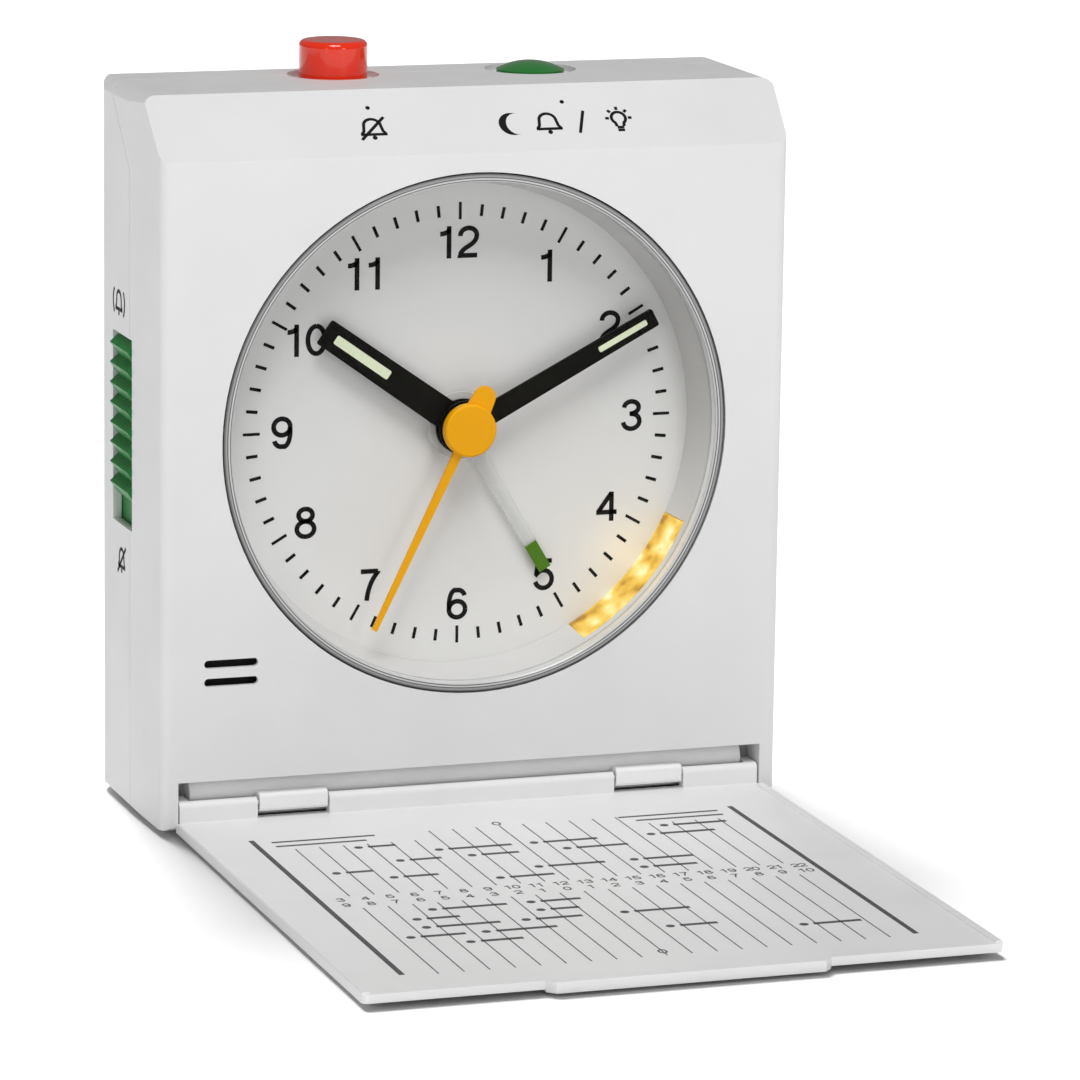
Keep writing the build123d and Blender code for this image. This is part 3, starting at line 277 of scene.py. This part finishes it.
def ring_edge(name):
    """Moulded edge of the window: fine painted bright and dark rings, one inside the other, standing
    for the highlights and shade on its steps.
    """
    shader = Shader(name, (0.5, 0.5, 0.51), 0.18)
    split = shader.add("ShaderNodeSeparateXYZ")
    shader.link(shader.coordinates, split.inputs[0])
    across = shader.add("ShaderNodeMath", operation="SUBTRACT")
    across.inputs[1].default_value = DIAL_CENTRE[0]
    shader.link(split.outputs["X"], across.inputs[0])
    upward = shader.add("ShaderNodeMath", operation="SUBTRACT")
    upward.inputs[1].default_value = DIAL_CENTRE[1]
    shader.link(split.outputs["Z"], upward.inputs[0])
    flat = shader.add("ShaderNodeCombineXYZ")
    shader.link(across.outputs[0], flat.inputs["X"])
    shader.link(upward.outputs[0], flat.inputs["Y"])
    length = shader.add("ShaderNodeVectorMath", operation="LENGTH")
    shader.link(flat.outputs[0], length.inputs[0])
    spread = shader.add("ShaderNodeMapRange")
    spread.inputs["From Min"].default_value = RING_PAINTED_LIGHT[0]
    spread.inputs["From Max"].default_value = RING_PAINTED_LIGHT[1]
    shader.link(length.outputs["Value"], spread.inputs["Value"])
    # Painted light and shade: greys across the edge, pale where its steps catch the light, near black
    # where they lie in shade.
    painted_light_greys = [(0.00, 0.62), (0.14, 0.60), (0.18, 0.15), (0.26, 0.15), (0.30, 0.62), (0.42, 0.60),
             (0.46, 0.09), (0.53, 0.10), (0.58, 0.32), (0.73, 0.30), (0.78, 0.18), (0.90, 0.15),
             (0.94, 0.04)]
    stops = [(place, (grey, grey, grey)) for place, grey in painted_light_greys]
    shader.link(shader.ramp(spread.outputs["Result"], stops), shader.bsdf.inputs["Base Color"])
    shader.uneven_gloss(6 * MM, 0.12, 0.24)
    return shader.material


def glowing_guide(name):
    """Acrylic lit from behind by a warm lamp, painted as emission: amber depths and bright patches of
    painted glow.
    """
    shader = Shader(name, (0.12, 0.07, 0.01), 0.12, IOR=1.49)
    facets = shader.noise(3.2 * MM, 2.0, 0.45, stretch=(1.0, 1.0, 1.4))
    stops = [(0.30, (0.30, 0.14, 0.005)), (0.41, (0.62, 0.36, 0.03)), (0.52, (0.80, 0.54, 0.09)),
             (0.62, (0.92, 0.74, 0.30)), (0.72, (0.97, 0.92, 0.68))]
    colours = shader.ramp(facets, stops)
    # Painted glow: these emission colours stand in for the lamp light coming through the acrylic,
    # brightest in the pale patches.
    shader.link(colours, shader.bsdf.inputs["Emission Color"])
    shader.bsdf.inputs["Emission Strength"].default_value = 1.05
    shader.bump(facets, 0.3 * MM, 0.6)
    return shader.material


def ink(name, colour, roughness=0.55):
    """Screen-printed ink with a slightly uneven film."""
    shader = Shader(name, colour, roughness, Specular_IOR_Level=0.12)
    shader.mottle(0.5 * MM, shade(colour, 0.8), shade(colour, 1.25))
    shader.uneven_gloss(0.4 * MM, roughness - 0.08, roughness + 0.1)
    shader.bump(shader.noise(0.08 * MM, 2), 0.003 * MM, 0.4)
    return shader.material


def luminous_paint(name):
    """Coarse pale green paint, as laid in the hands."""
    shader = Shader(name, (0.80, 0.87, 0.62), 0.7)
    shader.mottle(0.35 * MM, (0.76, 0.84, 0.59), (0.84, 0.90, 0.67))
    shader.bump(shader.noise(0.10 * MM, 3), 0.02 * MM, 0.7)
    return shader.material


def rubber(name, colour):
    """Matt and uneven; used for the pad and for felt."""
    shader = Shader(name, colour, 0.85)
    shader.mottle(1.5 * MM, shade(colour, 0.8), shade(colour, 1.2))
    shader.bump(shader.noise(0.2 * MM, 4), 0.03 * MM, 0.8)
    return shader.material


def battery_sleeve(name):
    """Printed sleeve of a plain cell: dark body with a copper band near the plus end."""
    shader = Shader(name, (0.05, 0.06, 0.08), 0.3, Metallic=0.3)
    split = shader.add("ShaderNodeSeparateXYZ")
    shader.link(shader.coordinates, split.inputs[0])
    spread = shader.add("ShaderNodeMapRange")
    spread.inputs["From Min"].default_value = -25 * MM
    spread.inputs["From Max"].default_value = 25 * MM
    shader.link(split.outputs["X"], spread.inputs["Value"])
    stops = [(0.0, (0.05, 0.06, 0.08)), (0.72, (0.72, 0.36, 0.12)), (0.97, (0.6, 0.6, 0.6))]
    bands = shader.ramp(spread.outputs["Result"], stops)
    bands.node.color_ramp.interpolation = "CONSTANT"
    shader.link(bands, shader.bsdf.inputs["Base Color"])
    shader.uneven_gloss(2 * MM, 0.22, 0.36)
    return shader.material


WHITE = (0.78, 0.78, 0.78)
MATERIALS = {
    "case_white": moulded_plastic("case_white", WHITE, 0.50),
    # Lighter than the case white: painted light on the textured hinge carrier, which lies in the
    # shade of the case's overhang; the coarse grain is its own.
    "case_white_textured": moulded_plastic("case_white_textured", (0.93, 0.93, 0.93), 0.62,
                                           grain=0.35 * MM, depth=0.09 * MM),
    "pad_rubber": rubber("pad_rubber", (0.06, 0.06, 0.065)),
    "bezel_grey": ring_edge("bezel_grey"),
    "clear_lens": clear_plastic("clear_lens", (0.95, 0.96, 0.96), 0.001),
    # The rehaut is white plastic; this grey, darker than the dial, is painted shade of the recess
    # under the window ring.
    "rehaut_white": moulded_plastic("rehaut_white", (0.66, 0.66, 0.66), 0.36, depth=0.005 * MM),
    "light_guide_clear": glowing_guide("light_guide_clear"),
    "lamp_warm": glowing_guide("lamp_warm"),
    "dial_white": moulded_plastic("dial_white", (0.79, 0.79, 0.78), 0.62, grain=0.05 * MM,
                                  depth=0.003 * MM, spread=0.015),
    "hand_black": moulded_plastic("hand_black", (0.006, 0.0055, 0.004), 0.55, grain=0.12 * MM,
                                  depth=0.006 * MM, spread=0.25, Specular_IOR_Level=0.06),
    "lume": luminous_paint("lume"),
    "hand_yellow": moulded_plastic("hand_yellow", (0.93, 0.43, 0.001), 0.40, depth=0.004 * MM,
                                   Specular_IOR_Level=0.12),
    "alarm_hand_clear": milky_plastic("alarm_hand_clear", (0.86, 0.87, 0.86), 0.30, 0.95),
    "alarm_green": moulded_plastic("alarm_green", (0.075, 0.20, 0.008), 0.45, depth=0.004 * MM,
                                   Specular_IOR_Level=0.15),
    "gear_natural": moulded_plastic("gear_natural", (0.80, 0.77, 0.66), 0.38, depth=0.003 * MM),
    "gear_brass": metal("gear_brass", (0.80, 0.58, 0.24), 0.25),
    "magnet_steel": metal("magnet_steel", (0.25, 0.25, 0.27), 0.40),
    "knob_grey": moulded_plastic("knob_grey", (0.36, 0.36, 0.37), 0.42),
    "movement_black": moulded_plastic("movement_black", (0.02, 0.02, 0.022), 0.5, spread=0.2),
    "steel": metal("steel", (0.60, 0.60, 0.62), 0.30),
    "spring_steel": metal("spring_steel", (0.68, 0.68, 0.70), 0.22),
    "copper": metal("copper", (0.72, 0.30, 0.12), 0.30, stretch=(1, 1, 12)),
    "board_green": moulded_plastic("board_green", (0.01, 0.14, 0.05), 0.25, depth=0.004 * MM),
    "brass_disc": metal("brass_disc", (0.78, 0.56, 0.22), 0.28),
    "battery_label": battery_sleeve("battery_label"),
    "felt_black": rubber("felt_black", (0.008, 0.008, 0.008)),
    "button_red": glossy_plastic("button_red", (0.93, 0.030, 0.004), 0.12),
    "button_green": glossy_plastic("button_green", (0.010, 0.20, 0.026), 0.14),
}
# The lid is the case's white plastic; this lighter copy is painted light, so the lid reads brighter
# than the case top.
LID_LIT_WHITE = moulded_plastic("lid_lit_white", (0.87, 0.87, 0.87), 0.42)
SLIDER_GREEN = moulded_plastic("slider_green", (0.012, 0.20, 0.034), 0.42, Specular_IOR_Level=0.2)
INK_BLACK = ink("ink_black", (0.006, 0.006, 0.006))
INK_GREY = ink("ink_grey", (0.10, 0.10, 0.10))


def dress_nodes():
    """Gives each CAD node the material of its slot; the slider has its own, and the lid a lighter
    copy of the case white that paints light on it.
    """
    slots = {entry["node"]: entry["material_slot"] for entry in frame["record"]["subparts"]}
    for name, node in frame["nodes"].items():
        node.data.materials.clear()
        node.data.materials.append(MATERIALS[slots[name]])
    frame["nodes"]["alarm_slider"].data.materials[0] = SLIDER_GREEN
    frame["nodes"]["lid"].data.materials[0] = LID_LIT_WHITE
    # the window is so thin and clear that it darkens nothing behind it
    frame["nodes"]["lens"].visible_shadow = False


# ------------------------------------------------------------------ print
class Print:
    """Collects flat inked strokes drawn in a plane and makes them one thin closed-looking piece."""

    def __init__(self, name, body, slot, material, origin, across, up):
        self.name, self.body, self.slot, self.material = name, body, slot, material
        self.origin, self.across, self.up = Vector(origin), Vector(across), Vector(up)
        self.out = self.across.cross(self.up)
        self.mesh = bmesh.new()

    def prism(self, left, right):
        """A raised strip between two matching rows of points."""
        rows = [left, right]
        if (left[1] - left[0]).cross(right[0] - left[0]) > 0:
            rows = [right, left]
        bottom, top = [], []
        for row in rows:
            places = [self.origin + self.across * p.x + self.up * p.y for p in row]
            bottom.append([self.mesh.verts.new(p - self.out * PRINT_HEIGHT) for p in places])
            top.append([self.mesh.verts.new(p + self.out * PRINT_HEIGHT) for p in places])
        count = len(left)
        for i in range(count - 1):
            self.mesh.faces.new((top[0][i], top[0][i + 1], top[1][i + 1], top[1][i]))
            self.mesh.faces.new((bottom[1][i], bottom[1][i + 1], bottom[0][i + 1], bottom[0][i]))
            self.mesh.faces.new((top[0][i + 1], top[0][i], bottom[0][i], bottom[0][i + 1]))
            self.mesh.faces.new((top[1][i], top[1][i + 1], bottom[1][i + 1], bottom[1][i]))
        for end in (0, -1):
            self.mesh.faces.new((top[0][end], top[1][end], bottom[1][end], bottom[0][end]))

    def stroke(self, points, width):
        """A line of even width with square ends and mitred corners."""
        points = [Vector(p) for p in points]
        left, right = [], []
        for i, point in enumerate(points):
            before = (point - points[i - 1]).normalized() if i else None
            after = (points[i + 1] - point).normalized() if i < len(points) - 1 else None
            along = ((before or after) + (after or before)).normalized()
            side = Vector((-along.y, along.x))
            segment = after or before
            spread = width / 2 / max(side.dot(Vector((-segment.y, segment.x))), 0.35)
            left.append(point + side * spread)
            right.append(point - side * spread)
        self.prism(left, right)

    def dot(self, centre, radius, steps=20):
        """A filled disc, made of its upper and lower half."""
        turns = [math.pi * i / steps for i in range(steps + 1)]
        upper = [Vector(centre) + Vector((math.cos(t), math.sin(t))) * radius for t in turns]
        lower = [Vector(centre) + Vector((math.cos(t), -math.sin(t))) * radius for t in turns]
        self.prism([p + Vector((0, 1e-7)) for p in upper], [p - Vector((0, 1e-7)) for p in lower])

    def finish(self):
        """Makes the piece and lets it ride on its body."""
        bmesh.ops.remove_doubles(self.mesh, verts=self.mesh.verts, dist=1e-8)
        bmesh.ops.recalc_face_normals(self.mesh, faces=self.mesh.faces)
        data = bpy.data.meshes.new(self.name)
        self.mesh.to_mesh(data)
        self.mesh.free()
        piece = bpy.data.objects.new(self.name, data)
        bpy.context.collection.objects.link(piece)
        data.materials.append(self.material)
        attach(piece, self.body)
        return piece


def arc(cx, cy, rx, ry, start, end, steps=14):
    """Points on an ellipse, in degrees anticlockwise from the right."""
    turns = [math.radians(start + (end - start) * i / steps) for i in range(steps + 1)]
    return [(cx + rx * math.cos(t), cy + ry * math.sin(t)) for t in turns]


def curve(p0, p1, p2, p3, steps=10):
    """Points on a cubic curve."""
    result = []
    for i in range(steps + 1):
        t = i / steps
        a, b, c, d = (1 - t) ** 3, 3 * t * (1 - t) ** 2, 3 * t * t * (1 - t), t ** 3
        result.append((a * p0[0] + b * p1[0] + c * p2[0] + d * p3[0],
                       a * p0[1] + b * p1[1] + c * p2[1] + d * p3[1]))
    return result


def digit_strokes(digit):
    """Centre lines of a plain numeral, one unit high with its stroke inside that height."""
    h = NUMERAL_STROKE / 2
    low, high, mid = h, 1 - h, 0.5
    shapes = {
        "0": [arc(0.31, mid, 0.23, mid - h, 90, 450, 40)],
        "1": [[(0.335, 0), (0.335, 1.0)],
              curve((0.335, 0.90), (0.32, 0.80), (0.20, 0.765), (0.09, 0.765))],
        "2": [arc(0.31, 0.70, 0.225, high - 0.70, 185, 0)
              + curve((0.535, 0.70), (0.535, 0.36), (0.10, 0.36), (0.085, low))[1:] + [(0.55, low)]],
        "3": [arc(0.30, 0.735, 0.205, high - 0.735, 180, -90)[:-1] + [(0.30, 0.535), (0.25, 0.535)],
              [(0.25, 0.535), (0.30, 0.535)] + arc(0.30, 0.297, 0.23, 0.238, 90, -175)[1:]],
        "4": [[(0.42, 0), (0.42, 0.93)], [(0.42, 0.90), (0.06, 0.315), (0.06, 0.285), (0.57, 0.285)]],
        "5": [[(0.53, high), (0.155, high), (0.10, 0.52)]
              + arc(0.30, 0.345, 0.235, 0.285, 145, -165)],
        "6": [arc(0.31, 0.315, 0.225, 0.255, 0, 360, 40),
              arc(0.33, 0.68, 0.19, high - 0.68, 15, 110)[:-1]
              + curve((0.24, 0.93), (0.10, 0.86), (0.075, 0.56), (0.09, 0.32))],
        "7": [[(0.06, high), (0.53, high)],
              [(0.53, high)] + curve((0.53, 0.90), (0.36, 0.68), (0.25, 0.36), (0.225, 0))],
        "8": [arc(0.31, 0.735, 0.19, high - 0.735, 90, 450, 36),
              arc(0.31, 0.297, 0.235, 0.238, 90, 450, 36)],
        "9": [arc(0.31, 0.685, 0.225, 0.255, 0, 360, 40),
              arc(0.29, 0.32, 0.19, 0.32 - low, 195, 290)[:-1]
              + curve((0.38, 0.07), (0.52, 0.14), (0.545, 0.44), (0.53, 0.68))],
    }
    return shapes[digit]


def number_strokes(text):
    """Strokes of a number of one unit height, centred on the origin."""
    strokes = []
    for place, digit in enumerate(text):
        middle = (place + 0.5 - len(text) / 2) * NUMERAL_ADVANCE
        for line in digit_strokes(digit):
            strokes.append([((x - DIGIT_MIDDLE) * NUMERAL_WIDEN + middle, y - 0.5) for x, y in line])
    return strokes


def write_number(target, text, centre, height, stroke=NUMERAL_STROKE):
    for line in number_strokes(text):
        points = [(centre[0] + x * height, centre[1] + y * height) for x, y in line]
        target.stroke(points, stroke * height)


def print_dial():
    """Minute track and hour numbers."""
    ink_print = Print("dial_print", "case", "hand_black", INK_BLACK,
                      (DIAL_CENTRE[0], DIAL_Y, DIAL_CENTRE[1]), (1, 0, 0), (0, 0, 1))
    for minute in range(60):
        turn = math.radians(6 * minute) + DIAL_TURN
        way = Vector((math.sin(turn), math.cos(turn)))
        if minute % 5:
            inner, outer, width = *MINUTE_TICK, MINUTE_TICK_WIDTH
        else:
            inner, outer, width = HOUR_TICK_INNER, TICK_OUTER, HOUR_TICK_WIDTH
        ink_print.stroke([way * inner, way * outer], width)
    for hour in range(1, 13):
        turn = math.radians(30 * hour) + DIAL_TURN
        shift = NUMERAL_SHIFT.get(hour, (0, 0))
        centre = (NUMERAL_CIRCLE * math.sin(turn) + shift[0],
                  NUMERAL_CIRCLE * math.cos(turn) + shift[1])
        write_number(ink_print, str(hour), centre, NUMERAL_HEIGHT)
    return ink_print.finish()


def bell(target, x, y, size, width):
    """Alarm bell outline, size high."""
    dome = [(x - 0.46 * size, y - 0.26 * size), (x - 0.36 * size, y - 0.12 * size)]
    dome += [(x + px * size, y + py * size) for px, py in arc(0, 0.12, 0.32, 0.30, 180, 0)]
    dome += [(x + 0.36 * size, y - 0.12 * size), (x + 0.46 * size, y - 0.26 * size)]
    target.stroke(dome, width)
    target.stroke([(x - 0.50 * size, y - 0.27 * size), (x + 0.50 * size, y - 0.27 * size)], width)
    target.dot((x, y - 0.42 * size), 0.09 * size)


def crescent(target, x, y, size):
    """Filled moon, size high."""
    outer = arc(x, y, size / 2, size / 2, 75, 285, 22)
    inner = arc(x + 0.20 * size, y, 0.42 * size, size * 0.48, 82, 278, 22)
    target.prism([Vector(p) for p in outer], [Vector(p) for p in inner])


def bulb(target, x, y, size, width):
    """Light bulb outline with rays, size high without the rays."""
    glass = arc(x, y + 0.12 * size, 0.27 * size, 0.27 * size, 232, -52, 24)
    neck = [(x + side * 0.13 * size, y - 0.26 * size) for side in (-1, 1)]
    target.stroke(neck[:1] + glass + neck[1:], width)
    for drop in (0.30, 0.43):
        target.stroke([(x - 0.13 * size, y - drop * size), (x + 0.13 * size, y - drop * size)], width)
    for angle in (0, 45, 90, 135, 180):
        way = Vector((math.cos(math.radians(angle)), math.sin(math.radians(angle))))
        start = Vector((x, y + 0.12 * size)) + way * 0.37 * size
        target.stroke([start, start + way * 0.14 * size], width)


def print_bevel():
    """Plain pictograms in front of the two top buttons, drawn on the 45 degree bevel."""
    slope = math.sqrt(0.5)
    middle = (0, FACE_Y + BEVEL / 2, CASE_TOP - BEVEL / 2)
    ink_print = Print("bevel_marks", "case", "hand_black", INK_BLACK,
                      middle, (1, 0, 0), (0, slope, slope))
    row, icon = BEVEL_ICON_ROW, BEVEL_ICON
    for x in (OFF_MARK_X, SNOOZE_MARK_X):
        ink_print.dot((x, BEVEL_DOT_ROW), MARK_DOT)
    crossed = Vector((OFF_MARK_X, row))
    half_slash = Vector((0.5, 0.5)) * icon
    bell(ink_print, OFF_MARK_X, row, icon, MARK_WIDTH)
    ink_print.stroke([crossed - half_slash, crossed + half_slash], MARK_WIDTH)
    crescent(ink_print, SNOOZE_MARK_X - 6.6 * MM, row, icon)
    bell(ink_print, SNOOZE_MARK_X - 2.3 * MM, row, icon, MARK_WIDTH)
    ink_print.stroke([(SNOOZE_MARK_X + 1.2 * MM, row - 0.5 * icon),
                      (SNOOZE_MARK_X + 2.2 * MM, row + 0.5 * icon)], MARK_WIDTH)
    bulb(ink_print, SNOOZE_MARK_X + 6.2 * MM, row, icon, MARK_WIDTH)
    return ink_print.finish()


def print_side():
    """A ringing bell above the slider and a crossed one below it, on the left side."""
    slot_low, slot_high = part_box("alarm_slider")
    middle_y = (slot_low.y + slot_high.y) / 2
    ink_print = Print("side_marks", "case", "hand_black", INK_BLACK,
                      (CASE_LEFT, middle_y, 0), (0, -1, 0), (0, 0, 1))
    for place in (SIDE_BELL, SIDE_CROSSED_BELL):
        bell(ink_print, place.x, place.y, SIDE_ICON, SIDE_MARK_WIDTH)
    ring = 0.72 * SIDE_ICON
    for side, start, end in ((1, -40, 40), (-1, 140, 220)):
        middle_x = SIDE_BELL.x + side * 0.1 * SIDE_ICON
        ink_print.stroke(arc(middle_x, SIDE_BELL.y, ring, ring, start, end, 8), SIDE_MARK_WIDTH)
    half_slash = Vector((0.6, 0.55)) * SIDE_ICON
    ink_print.stroke([SIDE_CROSSED_BELL - half_slash, SIDE_CROSSED_BELL + half_slash],
                     SIDE_MARK_WIDTH)
    return ink_print.finish()


def lid_comb(ink_print, columns):
    """A line between each two columns, and above and below the gap a row of numbers."""
    for k, x in enumerate(columns):
        line = x + LID_COLUMN_PITCH / 2
        near = LID_PRINT_NEAR - (4.8 if abs(k - LID_COLUMNS / 2) > 4 else 1.2) * MM
        if k < LID_COLUMNS - 1:
            ink_print.stroke([(line, near), (line, LID_MIDDLE + 2.4 * MM)], LID_LINE_WIDTH)
            ink_print.stroke([(line, LID_MIDDLE - 2.6 * MM), (line, LID_PRINT_FAR - 0.6 * MM)],
                             LID_LINE_WIDTH)
        for number, rise in ((k + 3, 1.15 * MM), (abs(k - 9), -1.05 * MM)):
            write_number(ink_print, str(number), (x, LID_MIDDLE + rise), LID_NUMBER_HEIGHT,
                         LID_NUMBER_STROKE)


def lid_scatter(ink_print, columns):
    """Dots, each with a blank dash where a name could stand, at seeded random places."""
    scatter = random.Random(LID_SEED)
    for side in (1, -1):
        for row in range(LID_ROWS):
            y = LID_MIDDLE + side * (LID_FIRST_ROW + row * LID_ROW_PITCH)
            free_from = 0
            for k in range(1, LID_COLUMNS - 3):
                if k < free_from or scatter.random() > LID_DOT_SHARE:
                    continue
                length = scatter.uniform(*LID_DASH_LENGTH) * MM
                start = columns[k] + LID_DASH_START
                ink_print.dot((columns[k], y), LID_DOT_RADIUS)
                ink_print.stroke([(start, y), (start + length, y)], LID_DASH_WIDTH)
                free_from = k + 2 + int(length / LID_COLUMN_PITCH)


def lid_headings(ink_print):
    """Two blank lines in each near corner, where headings could stand."""
    for row in (0, 1):
        y = LID_PRINT_NEAR - (1.4 + 1.8 * row) * MM
        for x, way in ((LID_BAR_LEFT + 2 * MM, 1), (LID_BAR_RIGHT - 2 * MM, -1)):
            ink_print.stroke([(x, y), (x + way * (12 - 1.5 * row) * MM, y)], 0.5 * MM)


def print_lid():
    """A plain scale: two bars, a comb of lines, two rows of numbers, dots and blank dashes."""
    ink_print = Print("lid_print", "lid", "hand_black", INK_GREY,
                      (0, 0, LID_PANEL_TOP), (1, 0, 0), (0, 1, 0))
    for x in (LID_BAR_LEFT, LID_BAR_RIGHT):
        ink_print.stroke([(x, LID_PRINT_NEAR), (x, LID_PRINT_FAR)], LID_BAR_WIDTH)
    columns = [LID_BAR_LEFT + LID_COLUMN_PITCH * (k + 0.85) for k in range(LID_COLUMNS)]
    lid_comb(ink_print, columns)
    lid_scatter(ink_print, columns)
    lid_headings(ink_print)
    zero = (columns[LID_COLUMNS // 2 - 1] + columns[LID_COLUMNS // 2]) / 2
    for y in (LID_PRINT_NEAR - 0.2 * MM, LID_PRINT_FAR + 0.9 * MM):
        write_number(ink_print, "0", (zero, y), 1.5 * MM, 0.14)
    return ink_print.finish()


# ------------------------------------------------------------------ stage
def make_floor():
    """A wide plain white table top."""
    mesh = bmesh.new()
    bmesh.ops.create_grid(mesh, x_segments=2, y_segments=2, size=FLOOR_HALF_SIZE)
    data = bpy.data.meshes.new("floor")
    mesh.to_mesh(data)
    mesh.free()
    floor = bpy.data.objects.new("floor", data)
    bpy.context.collection.objects.link(floor)
    shader = Shader("floor_white", (0.93, 0.93, 0.93), 0.6)
    shader.mottle(0.4, (0.925, 0.925, 0.925), (0.94, 0.94, 0.94))
    data.materials.append(shader.material)
    return floor


def keep_light(light, floor, state):
    """Keeps a light to the floor (INCLUDE) or off it (EXCLUDE)."""
    receivers = bpy.data.collections.new(light.name + "_receivers")
    receivers.objects.link(floor)
    receivers.collection_objects[0].light_linking.link_state = state
    light.light_linking.receiver_collection = receivers


def area_light(name, toward, distance, size, power):
    """Soft box aimed at the clock from the given direction."""
    data = bpy.data.lights.new(name, "AREA")
    data.shape = "RECTANGLE"
    data.size, data.size_y = size
    data.energy = power
    light = bpy.data.objects.new(name, data)
    bpy.context.collection.objects.link(light)
    light.location = LIGHT_TARGET + Vector(toward).normalized() * distance
    light.rotation_euler = (LIGHT_TARGET - light.location).to_track_quat("-Z", "Y").to_euler()
    return light


def floor_sun():
    """Light from above and behind, even everywhere, that leaves a short shadow in front."""
    data = bpy.data.lights.new("floor_sun", "SUN")
    data.energy = FLOOR_SUN_STRENGTH
    data.angle = FLOOR_SUN_ANGLE
    light = bpy.data.objects.new("floor_sun", data)
    light.rotation_euler.x = FLOOR_SUN_TILT
    bpy.context.collection.objects.link(light)
    return light


def guide_glow():
    """Small warm light beside the lamp guide, for its glow on the dial."""
    data = bpy.data.lights.new("guide_glow", "POINT")
    data.energy = GLOW_POWER
    data.color = GLOW_COLOUR
    data.shadow_soft_size = GLOW_SIZE
    light = bpy.data.objects.new("guide_glow", data)
    light.location = (DIAL_CENTRE[0] + GLOW_RADIUS * math.sin(GLOW_TURN), DIAL_Y - GLOW_HEIGHT,
                      DIAL_CENTRE[1] + GLOW_RADIUS * math.cos(GLOW_TURN))
    light.visible_camera = light.visible_glossy = False
    bpy.context.collection.objects.link(light)


def make_lights(floor):
    """Soft boxes for the clock, a sun for the floor and an even pale world."""
    world = bpy.data.worlds.new("studio")
    bpy.context.scene.world = world
    world.use_nodes = True
    background = world.node_tree.nodes["Background"]
    background.inputs["Color"].default_value = (1, 1, 1, 1)
    background.inputs["Strength"].default_value = WORLD_STRENGTH
    for name, settings in SOFT_BOXES.items():
        keep_light(area_light(name, *settings), floor, "EXCLUDE")
    guide_glow()
    keep_light(floor_sun(), floor, "INCLUDE")
    bpy.context.scene.view_settings.view_transform = "Standard"


def make_camera():
    """Camera at the place the photo was taken from."""
    data = bpy.data.cameras.new("camera")
    data.lens = CAMERA_LENS
    data.sensor_width = 36.0
    data.clip_start, data.clip_end = 0.05, 20.0
    camera = bpy.data.objects.new("camera", data)
    bpy.context.collection.objects.link(camera)
    level = math.cos(CAMERA_PITCH)
    forward = Vector((math.sin(CAMERA_YAW) * level, math.cos(CAMERA_YAW) * level,
                      -math.sin(CAMERA_PITCH)))
    right = Vector((math.cos(CAMERA_YAW), -math.sin(CAMERA_YAW), 0))
    up = right.cross(forward)
    turned_right = right * math.cos(CAMERA_ROLL) + up * math.sin(CAMERA_ROLL)
    turned_up = up * math.cos(CAMERA_ROLL) - right * math.sin(CAMERA_ROLL)
    axes = Matrix((turned_right, turned_up, -forward)).transposed()
    camera.matrix_world = Matrix.Translation(CAMERA_PLACE) @ axes.to_4x4()
    bpy.context.scene.camera = camera


make_camera()
dress_nodes()
print_dial()
print_bevel()
print_side()
print_lid()
make_lights(make_floor())
